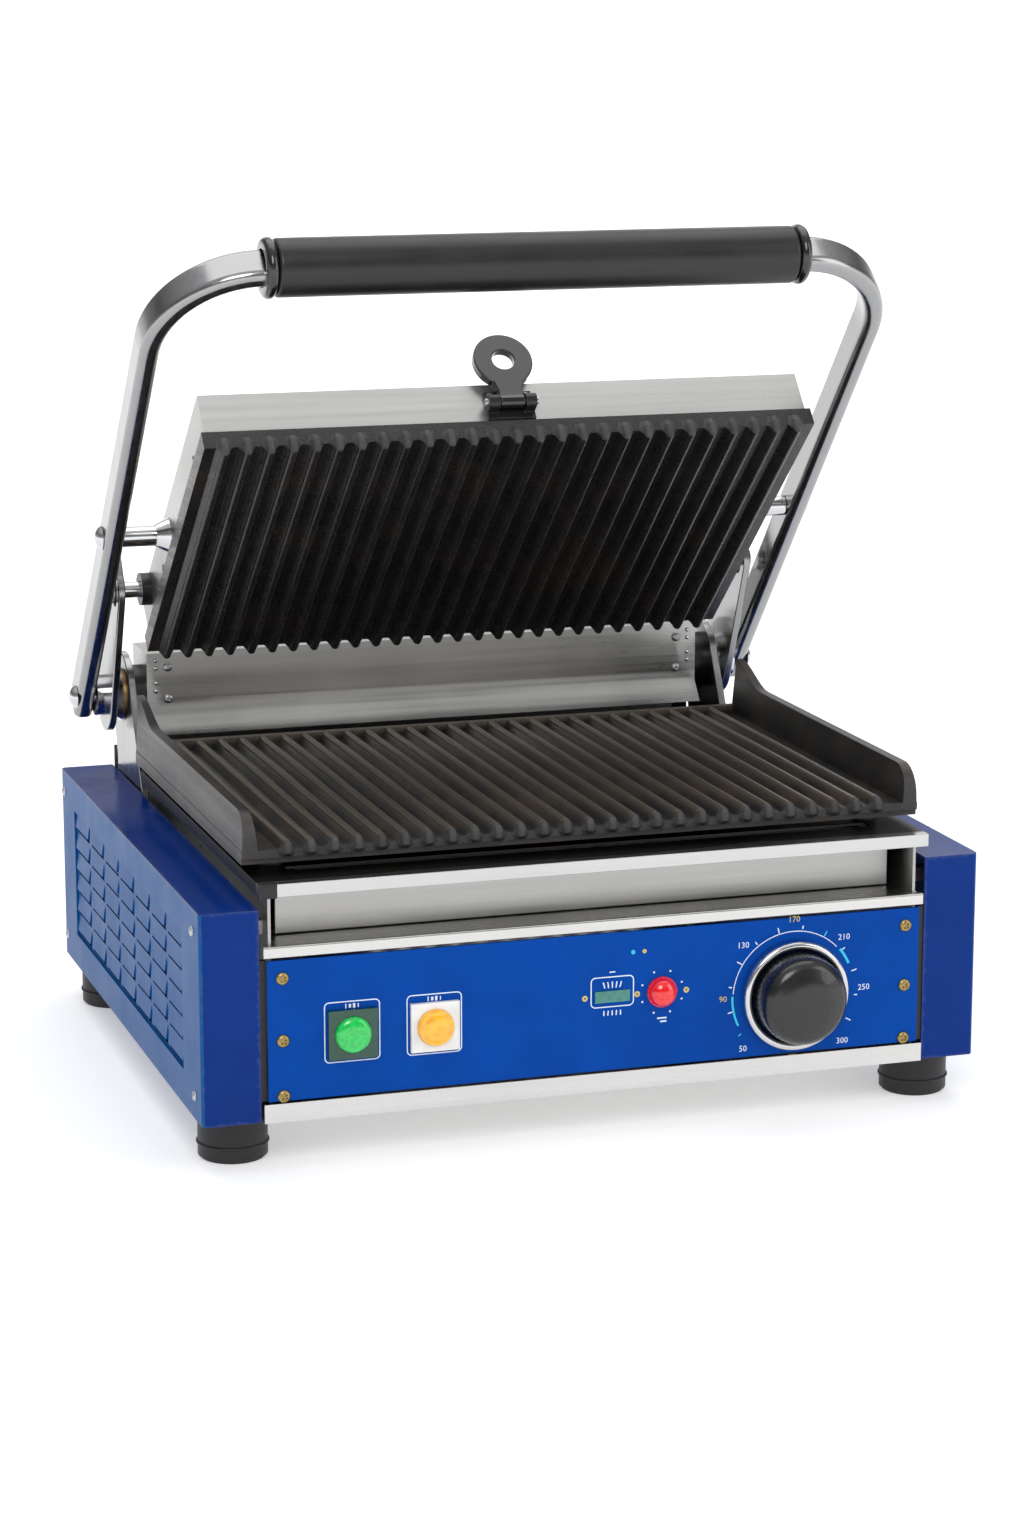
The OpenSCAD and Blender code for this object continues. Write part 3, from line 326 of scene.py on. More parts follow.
@dataclass(frozen=True)
class Metal(Finish):
    """Bare metal with brush marks, soft smudges and fine scratches, and where a line on Y is given, painted shade
    darkening it behind that line.
    """

    grain: Grain = Grain.ALONG_X
    brush: float = 0.12
    streak: float = 0.12
    smudge: float = 0.05
    # Painted shade: from this line on Y backwards the metal is painted dark.
    painted_shade_behind: float | None = None
    painted_shade_fade: float = 0.004

    def make(self) -> bpy.types.Material:
        """Builds the brushed metal.

        Returns:
            The material.
        """
        w = Wiring(self.name)
        along = w.stretched(self.grain)
        fine = w.noise(700, 3.0, 0.6, along)
        broad = w.noise(240, 2.0, 0.5, along)
        cloud = w.noise(11, 4.0, 0.55)
        worn = w.maths("ADD", w.maths("MULTIPLY", broad, 0.6), w.maths("MULTIPLY", cloud, 0.4))
        colour = w.tint(w.span(worn, (0.3, 0.7), (0, 1)),
                        shade(self.colour, 1 - self.streak), shade(self.colour, 1 + self.streak * 0.6))
        rough = w.maths("ADD", w.span(broad, (0.3, 0.7), (self.roughness - 0.04, self.roughness + 0.06)),
                        w.span(cloud, (0.35, 0.65), (0.0, self.smudge)))
        # Painted shade: the metal behind the line on Y is darkened with a ragged edge and made rougher.
        if self.painted_shade_behind is not None:
            ragged = w.maths("ADD", w.axis("Y"), w.span(cloud, (0.3, 0.7), (-0.003, 0.003)))
            painted_shade = w.span(ragged, (self.painted_shade_behind, self.painted_shade_behind + self.painted_shade_fade), (0.0, 1.0))
            colour = w.over(colour, painted_shade, PAINTED_SHADE)
            rough = w.maths("ADD", rough, w.maths("MULTIPLY", painted_shade, 0.2))
        relief = w.bump(fine, self.brush * 0.6, 0.00012, w.bump(broad, self.brush * 0.3, 0.00015))
        return w.close(colour, rough, relief, Metallic=1.0)


@dataclass(frozen=True)
class Paint(Finish):
    """Baked enamel: a faint orange peel, a soft mottle, settled dust, paler rubbed edges and, where given, a
    lighter blue painted on the outer flat face as painted light.
    """

    coat: float = 0.5
    peel: float = 0.05
    gloss: float = 0.2
    rub_box: tuple[Point, Point] | None = None
    rub_strength: float = 0.28
    # Painted light: the outer flat face gets its own lighter blue, unlike the front flange and the top fold of the
    # same sheet.
    painted_lit_face: Colour | None = None
    painted_lit_depth: float = 0.008
    painted_lit_rim: float = 0.0007

    def rubbed(self, w: Wiring) -> bpy.types.NodeSocket:
        """How near a point is to the edges of the rub box, 1 on an edge.

        Args:
            w: The material being wired.

        Returns:
            The value socket.
        """
        gaps = []
        for name, low, high in zip("XYZ", *self.rub_box):
            along = w.unsigned(w.axis(name)) if name == "X" else w.axis(name)
            offset = w.unsigned(w.maths("SUBTRACT", along, (low + high) / 2))
            gaps.append(w.line(offset, -1.0, (high - low) / 2))
        pairs = [w.maths("MAXIMUM", gaps[i], gaps[j]) for i, j in ((0, 1), (1, 2), (0, 2))]
        nearest = w.maths("MINIMUM", w.maths("MINIMUM", pairs[0], pairs[1]), pairs[2])
        ragged = w.maths("ADD", nearest, w.span(w.noise(260, 4.0), (0.3, 0.7), (-0.0012, 0.0012)))
        return w.span(ragged, (0.0002, 0.0016), (1.0, 0.0))

    def painted_lit_share(self, w: Wiring) -> bpy.types.NodeSocket:
        """Where the outer face is flat: 1 there and 0 on its folded edges; the lighter painted-light colour goes
        there.

        Args:
            w: The material being wired.

        Returns:
            The value socket.
        """
        low, high = self.rub_box
        face = high[0] - self.painted_lit_depth
        share = w.span(w.unsigned(w.axis("X")), (face - 0.001, face), (0, 1))
        for name, edge, rim in (("Y", low[1], self.painted_lit_rim), ("Z", high[2], -self.painted_lit_rim)):
            within = w.span(w.axis(name), (edge + rim / 2, edge + rim), (0, 1))
            share = w.maths("MINIMUM", share, within)
        return share

    def make(self) -> bpy.types.Material:
        """Builds the enamel.

        Returns:
            The material.
        """
        w = Wiring(self.name)
        mottle = w.noise(38, 3.0)
        dust = w.span(w.noise(900, 2.0), (0.7, 0.78), (0.0, 0.3))
        base = w.tint(w.span(mottle, (0.3, 0.7), (0, 1)), shade(self.colour, 0.93),
                      shade(self.colour, 1.07))
        rough = w.span(mottle, (0.3, 0.7), (self.roughness - 0.03, self.roughness + 0.05))
        share = dust
        if self.rub_box is not None:
            share = w.maths("MAXIMUM", dust, w.maths("MULTIPLY", self.rubbed(w), self.rub_strength))
        # Painted light: the outer flat face is painted a lighter blue than the folded edges, and made rougher.
        if self.painted_lit_face is not None:
            flat = self.painted_lit_share(w)
            base = w.over(base, flat, self.painted_lit_face)
            rough = w.maths("ADD", rough, w.maths("MULTIPLY", flat, 0.2))
        mix = w.over(base, share, tuple(0.45 * c + 0.1 for c in self.colour))
        peel = w.bump(w.noise(420, 2.0, 0.4), self.peel, 0.0006)
        return w.close(mix, rough, peel, Coat_Weight=self.coat, Coat_Roughness=0.06,
                       Specular_IOR_Level=self.gloss)


@dataclass(frozen=True)
class Casting(Finish):
    """Cast iron: sandy grains, shallow pits, a seasoned brown patina, and rib tips painted a lighter brown and
    made more metallic, partly worn iron and partly a painted highlight.
    """

    sand: float = 0.5
    season: Colour = (0.05, 0.036, 0.026)
    sandy_below: float | None = None
    # Heights and inner edge of the rib tips painted lighter and more metallic: partly worn iron, partly a painted
    # highlight.
    worn: tuple[float, float, float] | None = None

    def make(self) -> bpy.types.Material:
        """Builds the cast iron, with rougher sand in front of sandy_below on Y where that is given.

        Returns:
            The material.
        """
        w = Wiring(self.name)
        grains = w.noise(1400, 3.0, 0.7)
        pits = w.cells(700)
        cloud = w.noise(26, 5.0, 0.6)
        streaks = w.noise(220, 3.0, 0.6, w.stretched(Grain.ALONG_Y))
        colour = w.tint(w.span(cloud, (0.42, 0.66), (0, 1)), self.colour, self.season)
        speck = w.over(colour, w.span(grains, (0.55, 0.72), (0.0, 0.5)), shade(self.colour, 3.2))
        rough = w.maths("ADD", w.span(streaks, (0.3, 0.7), (self.roughness - 0.07, self.roughness + 0.07)),
                        w.span(grains, (0.4, 0.7), (0.0, 0.12)))
        relief = w.bump(grains, self.sand, 0.0005, w.bump(pits, self.sand * 0.3, 0.0004))
        if self.sandy_below is not None:
            front = w.span(w.axis("Y"), (self.sandy_below, self.sandy_below + 0.003), (1.0, 0.0))
            w.wire(w.line(front, 0.75, 0.25), relief.node.inputs["Strength"])
            rough = w.maths("ADD", rough, w.maths("MULTIPLY", front, 0.22))
            speck = w.over(speck, w.maths("MULTIPLY", front, 0.7), shade(self.colour, 3.6))
        # Rib tips painted lighter and more metallic: partly worn iron, partly a painted highlight.
        if self.worn is not None:
            worn_and_highlight = w.maths("MULTIPLY", self.worn_and_highlight_share(w), w.span(streaks, (0.35, 0.6), (0.45, 1.0)))
            speck = w.over(speck, worn_and_highlight, WORN_IRON_AND_HIGHLIGHT)
            w.wire(w.maths("MULTIPLY", worn_and_highlight, 0.85), w.shader.inputs["Metallic"])
        return w.close(speck, rough, relief, Specular_IOR_Level=0.5)

    def worn_and_highlight_share(self, w: Wiring) -> bpy.types.NodeSocket:
        """How much of the iron is painted lighter and more metallic, partly worn iron and partly a painted
        highlight: towards the ribs' tips and only between the side walls.

        Args:
            w: The material being wired.

        Returns:
            The value socket.
        """
        low, high, inside = self.worn
        height = w.span(w.axis("Z"), (low, high), (0.0, 1.0))
        across = w.span(w.unsigned(w.axis("X")), (inside - 0.0005, inside), (1.0, 0.0))
        return w.maths("MULTIPLY", height, across)


@dataclass(frozen=True)
class Moulding(Finish):
    """Moulded plastic or rubber: a fine leathery surface and slight shine differences."""

    texture: float = 0.15
    coat: float = 0.0
    grain: Grain = Grain.NONE
    spread: float = 0.08

    def make(self) -> bpy.types.Material:
        """Builds the moulding.

        Returns:
            The material.
        """
        w = Wiring(self.name)
        skin = w.noise(1300, 2.0, 0.6, w.stretched(self.grain))
        cloud = w.noise(45, 3.0)
        colour = w.tint(w.span(cloud, (0.3, 0.7), (0, 1)), shade(self.colour, 0.88),
                        shade(self.colour, 1.14))
        rough = w.maths("ADD", w.span(cloud, (0.3, 0.7), (self.roughness, self.roughness + self.spread)),
                        w.span(skin, (0.4, 0.7), (-0.02, 0.05)))
        return w.close(colour, rough, w.bump(skin, self.texture, 0.0004), Coat_Weight=self.coat,
                       Coat_Roughness=0.08)


@dataclass(frozen=True)
class Lens(Finish):
    """Clear tinted plastic over a shaded core, with fine facets and a painted glow: a faint emission although the
    part is not lit.
    """

    # Strength of a painted glow: emission although the part is not lit.
    painted_glow: float = 0.0
    facets: float = 520

    def make(self) -> bpy.types.Material:
        """Builds the lens.

        Returns:
            The material.
        """
        w = Wiring(self.name)
        facet = w.cells(self.facets)
        colour = w.tint(w.span(facet, (0.0, 0.7), (0, 1)), shade(self.colour, 0.8),
                        shade(self.colour, 1.25))
        rough = w.span(w.noise(60, 3.0), (0.3, 0.7), (self.roughness, self.roughness + 0.06))
        # Painted glow: the part emits its own colour.
        w.shader.inputs["Emission Color"].default_value = (*self.colour, 1)
        return w.close(colour, rough, w.bump(facet, 0.12, 0.0003), Coat_Weight=1.0, Coat_Roughness=0.03,
                       Emission_Strength=self.painted_glow, Subsurface_Weight=0.2)


@dataclass(frozen=True)
class Ink(Finish):
    """Screen-printed ink: slightly uneven, with tiny pinholes."""

    def make(self) -> bpy.types.Material:
        """Builds the ink.

        Returns:
            The material.
        """
        w = Wiring(self.name)
        pin = w.span(w.noise(2200, 2.0), (0.28, 0.36), (0, 1))
        rough = w.span(w.noise(300, 2.0), (0.3, 0.7), (self.roughness - 0.05, self.roughness + 0.1))
        return w.close(w.tint(pin, shade(self.colour, 0.55), self.colour), rough,
                       w.bump(pin, 0.2, 0.00005), Specular_IOR_Level=0.4)


def around(node: str) -> tuple[Point, Point]:
    """A CAD node's corners as plain tuples, for a finish that is laid out round it."""
    low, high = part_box(node)
    return tuple(low), tuple(high)


# The side panels: their outer flat face is painted a lighter blue as painted light.
SIDE_BLUE = Paint("side_blue", (0.003, 0.03, 0.2), 0.16, coat=0.04, gloss=0.07,
                  rub_box=around("side_panel_right"), painted_lit_face=(0.002, 0.085, 0.29))
PANEL_BLUE = Paint("panel_blue", (0.0005, 0.056, 0.33), 0.38, coat=0.0, peel=0.03, gloss=0.06)
BRUSHED = Metal("brushed_steel", (0.44, 0.435, 0.42), 0.27, brush=0.16, streak=0.2, smudge=0.1)
SATIN = Metal("satin_steel", (0.66, 0.65, 0.63), 0.22, brush=0.08, streak=0.08)
# The deck is painted dark behind its front band: painted shade and painted reflection of the plate above.
DECK = Metal("deck_steel", (0.56, 0.56, 0.555), 0.14, brush=0.03, streak=0.06, smudge=0.06,
             painted_shade_behind=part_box("top_deck")[0].y + 0.005)
LINK = Metal("link_steel", (0.34, 0.34, 0.34), 0.2, grain=Grain.ALONG_Z, brush=0.08, streak=0.12)
TUBE = Metal("tube_chrome", (0.34, 0.34, 0.34), 0.17, grain=Grain.ALONG_Z, brush=0.008, streak=0.06)
CHROME = Metal("bright_chrome", (0.62, 0.62, 0.63), 0.1, grain=Grain.NONE, brush=0.01, streak=0.03)
ZINC = Metal("zinc", (0.55, 0.56, 0.58), 0.3, grain=Grain.NONE, brush=0.1, streak=0.15)
BRASS = Metal("brass", (0.42, 0.31, 0.12), 0.34, grain=Grain.NONE, brush=0.15, streak=0.3)
BRONZE = Metal("bronze", (0.45, 0.27, 0.12), 0.4, grain=Grain.NONE, brush=0.15, streak=0.2)
FOIL = Metal("shield_aluminium", (0.16, 0.155, 0.15), 0.5, brush=0.1, streak=0.3)
POST = Metal("heated_zinc", (0.12, 0.115, 0.11), 0.45, grain=Grain.NONE, brush=0.15, streak=0.3)
HEATER = Metal("heater_sheath", (0.10, 0.095, 0.09), 0.5, grain=Grain.NONE, brush=0.2, streak=0.3)
COIL = Metal("spring_wire", (0.16, 0.165, 0.18), 0.32, grain=Grain.NONE, brush=0.1, streak=0.2)
PLATE_LOW, PLATE_HIGH = around("lower_plate")
# The lower casting's rib tips are painted lighter and more metallic: partly worn iron, partly a painted highlight.
IRON = Casting("cast_iron", (0.0125, 0.0125, 0.0135), 0.36, sandy_below=PLATE_LOW[1],
               worn=(PLATE_LOW[2] + 0.0085, PLATE_LOW[2] + 0.0117, PLATE_HIGH[0] - 0.009))
IRON_TOP = Casting("cast_iron_top", (0.009, 0.009, 0.010), 0.27, sand=0.22, season=(0.022, 0.018, 0.015))
IRON_EDGE = Casting("cast_iron_edge", (0.045, 0.045, 0.047), 0.5, sand=0.9, season=(0.022, 0.021, 0.02))
GRIP = Moulding("grip_foam", (0.008, 0.008, 0.0085), 0.33, texture=0.06, grain=Grain.ALONG_X)
RUBBER = Moulding("foot_rubber", (0.007, 0.007, 0.0075), 0.42, texture=0.12)
BLACK = Moulding("black_plastic", (0.006, 0.006, 0.0065), 0.3, texture=0.08)
GLOSS = Moulding("gloss_black", (0.004, 0.004, 0.0045), 0.16, texture=0.02, coat=0.6, spread=0.04)
KNOB = Moulding("knob_black", (0.006, 0.006, 0.0065), 0.24, texture=0.03, coat=0.35, spread=0.05)
PHENOLIC = Moulding("phenolic", (0.12, 0.055, 0.02), 0.45)
WHITE = Moulding("white_plastic", (0.78, 0.78, 0.76), 0.3, texture=0.03, coat=0.2)
DARK_GREEN = Moulding("dark_green", (0.004, 0.055, 0.03), 0.2, texture=0.03, coat=0.5)
# The lenses, caps and window glow faintly: painted glow, not lamps.
GREEN = Lens("green_cap", (0.0, 0.44, 0.062), 0.16, painted_glow=0.12)
ORANGE = Lens("orange_cap", (0.93, 0.37, 0.012), 0.2, painted_glow=0.15, facets=260)
RED = Lens("red_lens", (0.72, 0.003, 0.006), 0.1, painted_glow=0.12)
TEAL = Lens("teal_window", (0.01, 0.16, 0.13), 0.12, painted_glow=0.1, facets=300)
WHITE_INK = Ink("white_ink", (0.72, 0.80, 0.9), 0.45)
CYAN_INK = Ink("cyan_ink", (0.03, 0.56, 0.78), 0.45)
YELLOW_INK = Ink("yellow_ink", (0.62, 0.48, 0.14), 0.45)


# ---------- shared mesh steps ----------


def block(bm: BMesh, low: Sequence[float], high: Sequence[float]) -> list[BMVert]:
    """Adds a box between two corners.

    Args:
        bm: The mesh being built.
        low: Lowest corner.
        high: Highest corner.

    Returns:
        The box's vertices.
    """
    low, high = Vector(low), Vector(high)
    place = Matrix.Translation((low + high) / 2) @ Matrix.Diagonal((*(high - low), 1))
    return bmesh.ops.create_cube(bm, size=1, matrix=place)["verts"]


def soften(bm: BMesh, width: float, segments: int = 3, verts: Iterable[BMVert] | None = None,
           least: float = 35.0) -> None:
    """Rounds the sharp edges of a mesh, or of the part of it that holds the given vertices.

    Args:
        bm: The mesh being built.
        width: Width of the rounding.
        segments: Facets in it.
        verts: Vertices whose edges count; all when None.
        least: Smallest angle of an edge that is rounded, in degrees.
    """
    chosen = set(bm.verts if verts is None else verts)
    edges = [e for e in bm.edges if e.verts[0] in chosen and e.verts[1] in chosen
             and len(e.link_faces) == 2 and math.degrees(e.calc_face_angle(0)) > least]
    bmesh.ops.bevel(bm, geom=edges, offset=width, offset_type="OFFSET", segments=segments, profile=0.5,
                    affect="EDGES", material=-1, clamp_overlap=True)


def pull(bm: BMesh, face: BMFace, move: Sequence[float] = (0, 0, 0), scale: Sequence[float] = (1, 1, 1),
         turn: Matrix | None = None, about: Vector | None = None) -> BMFace:
    """Extrudes a face, then moves, scales and turns its copy.

    Args:
        bm: The mesh being built.
        face: The face that is extruded.
        move: How far the copy moves.
        scale: Its scale about its own middle, or about the given point.
        turn: A rotation about the given point.
        about: The point that turns and scales keep.

    Returns:
        The new end face.
    """
    made = bmesh.ops.extrude_face_region(bm, geom=[face])["geom"]
    verts = [g for g in made if isinstance(g, BMVert)]
    end = next(g for g in made if isinstance(g, BMFace))
    point = about or end.calc_center_median()
    if turn is not None:
        bmesh.ops.rotate(bm, verts=verts, cent=point, matrix=turn)
    bmesh.ops.scale(bm, verts=verts, vec=scale, space=Matrix.Translation(-point))
    bmesh.ops.translate(bm, verts=verts, vec=move)
    return end


def reachable(start: Sequence[BMVert]) -> list[BMVert]:
    """Every vertex joined to the given ones by edges.

    Args:
        start: The vertices that the search starts from.

    Returns:
        All the vertices of their solids.
    """
    seen, stack = set(start), list(start)
    while stack:
        for edge in stack.pop().link_edges:
            for other in edge.verts:
                if other not in seen:
                    seen.add(other)
                    stack.append(other)
    return list(seen)


def lathe(bm: BMesh, outline: Sequence[tuple[float, float]], place: Matrix,
          steps: int = 48) -> list[BMVert]:
    """Spins an outline of (radius, height) points round Z and puts the form in place.

    Args:
        bm: The mesh being built.
        outline: The points, starting and ending on the axis for a solid form.
        place: Where local Z and the origin go.
        steps: Steps in the turn.

    Returns:
        The form's vertices.
    """
    chain = [bm.verts.new((r, 0, z)) for r, z in outline]
    edges = [bm.edges.new(pair) for pair in zip(chain, chain[1:])]
    bmesh.ops.spin(bm, geom=chain + edges, cent=(0, 0, 0), axis=(0, 0, 1), angle=2 * math.pi,
                   steps=steps, use_merge=True)
    fresh = reachable(chain)
    bmesh.ops.remove_doubles(bm, verts=fresh, dist=1e-7)
    fresh = reachable([v for v in chain if v.is_valid])
    bmesh.ops.recalc_face_normals(bm, faces=list({f for v in fresh for f in v.link_faces}))
    bmesh.ops.transform(bm, matrix=place, verts=fresh)
    return fresh


def added(bm: BMesh, before: set[BMVert]) -> list[BMVert]:
    """The vertices that a mesh has gained since it held the given ones."""
    return [v for v in bm.verts if v not in before]


def facing_front(x: float, y: float, z: float) -> Matrix:
    """A place whose local Z comes out of the grill's front."""
    return Matrix.Translation((x, y, z)) @ Matrix.Rotation(math.pi / 2, 4, "X")


def facing_side(x: float, y: float, z: float, side: int) -> Matrix:
    """A place whose local Z comes out of the right side (1) or the left side (-1)."""
    return Matrix.Translation((x, y, z)) @ Matrix.Rotation(side * math.pi / 2, 4, "Y")


def arc(radius: float, start: float, end: float, centre: tuple[float, float] = (0, 0),
        steps: int = 8) -> list[tuple[float, float]]:
    """Points of an arc for a lathe's outline, from one angle to another in degrees."""
    turns = [math.radians(start + (end - start) * i / steps) for i in range(steps + 1)]
    return [(centre[0] + radius * math.cos(t), centre[1] + radius * math.sin(t)) for t in turns]


def register(name: str, bm: BMesh, body: str, finish: Finish, replaces: Sequence[str] = (),
             crease: float = 32.0) -> bpy.types.Object:
    """Turns a mesh under construction into a finished piece on its body.

    Args:
        name: The piece's name.
        bm: The mesh, in place; it is freed.
        body: The CAD body that the piece rides.
        finish: What the piece is dressed in.
        replaces: CAD nodes that it stands for.
        crease: Edges sharper than this many degrees stay sharp.

    Returns:
        The object.
    """
    mesh = bpy.data.meshes.new(name)
    for face in bm.faces:
        face.smooth = True
    bm.to_mesh(mesh)
    bm.free()
    mesh.set_sharp_from_angle(angle=math.radians(crease))
    piece = bpy.data.objects.new(name, mesh)
    bpy.context.scene.collection.objects.link(piece)
    mesh.materials.append(finish.material())
    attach(piece, body)
    if replaces:
        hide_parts(*replaces)
    log.info("%-24s %-13s %6d faces", name, body, len(mesh.polygons))
    return piece


def body_of(node: str) -> str:
    """The CAD body that a node belongs to."""
    return next(b for b, members in frame["record"]["behaviour"]["bodies"].items() if node in members)


def welded(node: str) -> BMesh:
    """A copy of a CAD node's mesh with its loose triangles joined.

    Args:
        node: The CAD node.

    Returns:
        The mesh.
    """
    bm = bmesh.new()
    bm.from_mesh(frame["nodes"][node].data)
    bmesh.ops.remove_doubles(bm, verts=bm.verts, dist=WELD)
    return bm


def clusters(node: str) -> list[Vector]:
    """The middles of a CAD node's separate solids.

    Args:
        node: The CAD node.

    Returns:
        The middles, sorted.
    """
    bm = welded(node)
    left, middles = set(bm.verts), []
    while left:
        group = reachable([next(iter(left))])
        left -= set(group)
        middles.append(Vector([(min(v.co[i] for v in group) + max(v.co[i] for v in group)) / 2
                               for i in range(3)]))
    bm.free()
    return sorted(middles, key=lambda m: tuple(round(c, 4) for c in m))


def screw_spots(node: str, place: Callable[[Vector], Matrix]) -> list[Matrix]:
    """A place for each separate screw of a CAD node.

    Args:
        node: The CAD node.
        place: Turns a screw's middle into the place of its head.

    Returns:
        The places.
    """
    return [place(centre) for centre in clusters(node)]


def rounded(node: str, width: float, finish: Finish, segments: int = 2) -> bpy.types.Object:
    """A copy of a CAD node with its facets joined and its edges rounded, which stands for the node.

    Args:
        node: The CAD node.
        width: Width of the rounding.
        finish: What the copy is dressed in.
        segments: Facets in the rounding.

    Returns:
        The copy.
    """
    bm = welded(node)
    bmesh.ops.dissolve_limit(bm, angle_limit=math.radians(0.6), verts=bm.verts, edges=bm.edges)
    piece = register(f"{node}_body", bm, body_of(node), finish, [node], crease=40)
    edges = piece.modifiers.new("edges", "BEVEL")
    edges.width, edges.segments = width, segments
    edges.limit_method, edges.angle_limit = "ANGLE", math.radians(40)
    edges.harden_normals = True
    flats = piece.modifiers.new("flats", "WEIGHTED_NORMAL")
    flats.keep_sharp = True
    return piece


def dress(finish: Finish, *nodes: str) -> None:
    """Gives CAD nodes that stay as they are their finish.

    Args:
        finish: The finish.
        *nodes: The nodes' names.
    """
    for node in nodes:
        materials = frame["nodes"][node].data.materials
        materials.clear()
        materials.append(finish.material())
        log.info("%-24s dressed in %s", node, finish.name)


def screw_heads(name: str, spots: Sequence[Matrix], body: str, finish: Finish, radius: float,
                height: float, replaces: Sequence[str] = ()) -> bpy.types.Object:
    """Domed screw heads with a cross recess, as one piece.

    Args:
        name: The piece's name.
        spots: Place of each head, with local Z out of the surface.
        body: The CAD body.
        finish: What the heads are dressed in.
        radius: Radius of a head.
        height: Height of its dome.
        replaces: CAD nodes that the heads stand for.

    Returns:
        The object.
    """
    bm = bmesh.new()
    floor, wing, slit = height * 0.35, radius * 0.52, radius * 0.13
    for spot in spots:
        dome = [(0, -0.001), (radius * 0.9, -0.001), (radius, 0), (radius * 0.97, height * 0.3),
                (radius * 0.85, height * 0.65), (wing * 1.15, height * 0.93)]
        lathe(bm, [*dome, (wing, height * 0.95), (wing * 0.9, floor), (0, floor)], spot, 24)
        for quarter in range(4):
            turn = Matrix.Rotation(math.pi / 4 + quarter * math.pi / 2, 4, "Z")
            lobe = block(bm, (slit, slit, floor * 0.8), (wing * 0.72, wing * 0.72, height * 0.94))
            bmesh.ops.transform(bm, matrix=spot @ turn, verts=lobe)
    return register(name, bm, body, finish, replaces)


# ---------- places worked out from the record ----------


def joint(name: str) -> dict:
    """One joint of the record."""
    return next(j for j in frame["joints"] if j["name"] == name)


def plate_place() -> Matrix:
    """The upper plate's own frame at rest.

    Returns:
        A place with its origin on the plate's pivot and Y along the plate to the back.
    """
    ratio = frame["record"]["behaviour"]["couplings"][0]["ratio"]
    tilt = math.radians(joint("handle_hinge")["range_deg"][1]) * (1 + ratio)
    return Matrix.Translation(joint("plate_tilt")["pos_m"]) @ Matrix.Rotation(-tilt, 4, "X")


def box_in(node: str, place: Matrix) -> tuple[Vector, Vector]:
    """A CAD node's box measured in another frame.

    Args:
        node: The CAD node.
        place: The frame.

    Returns:
        Its lowest and highest corners there.
    """
    back = place.inverted()
    points = [back @ v.co for v in frame["nodes"][node].data.vertices]
    return (Vector([min(p[i] for p in points) for i in range(3)]),
            Vector([max(p[i] for p in points) for i in range(3)]))


def middle(node: str) -> Vector:
    """The middle of a CAD node's box."""
    low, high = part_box(node)
    return (low + high) / 2


# ---------- sub-assemblies ----------


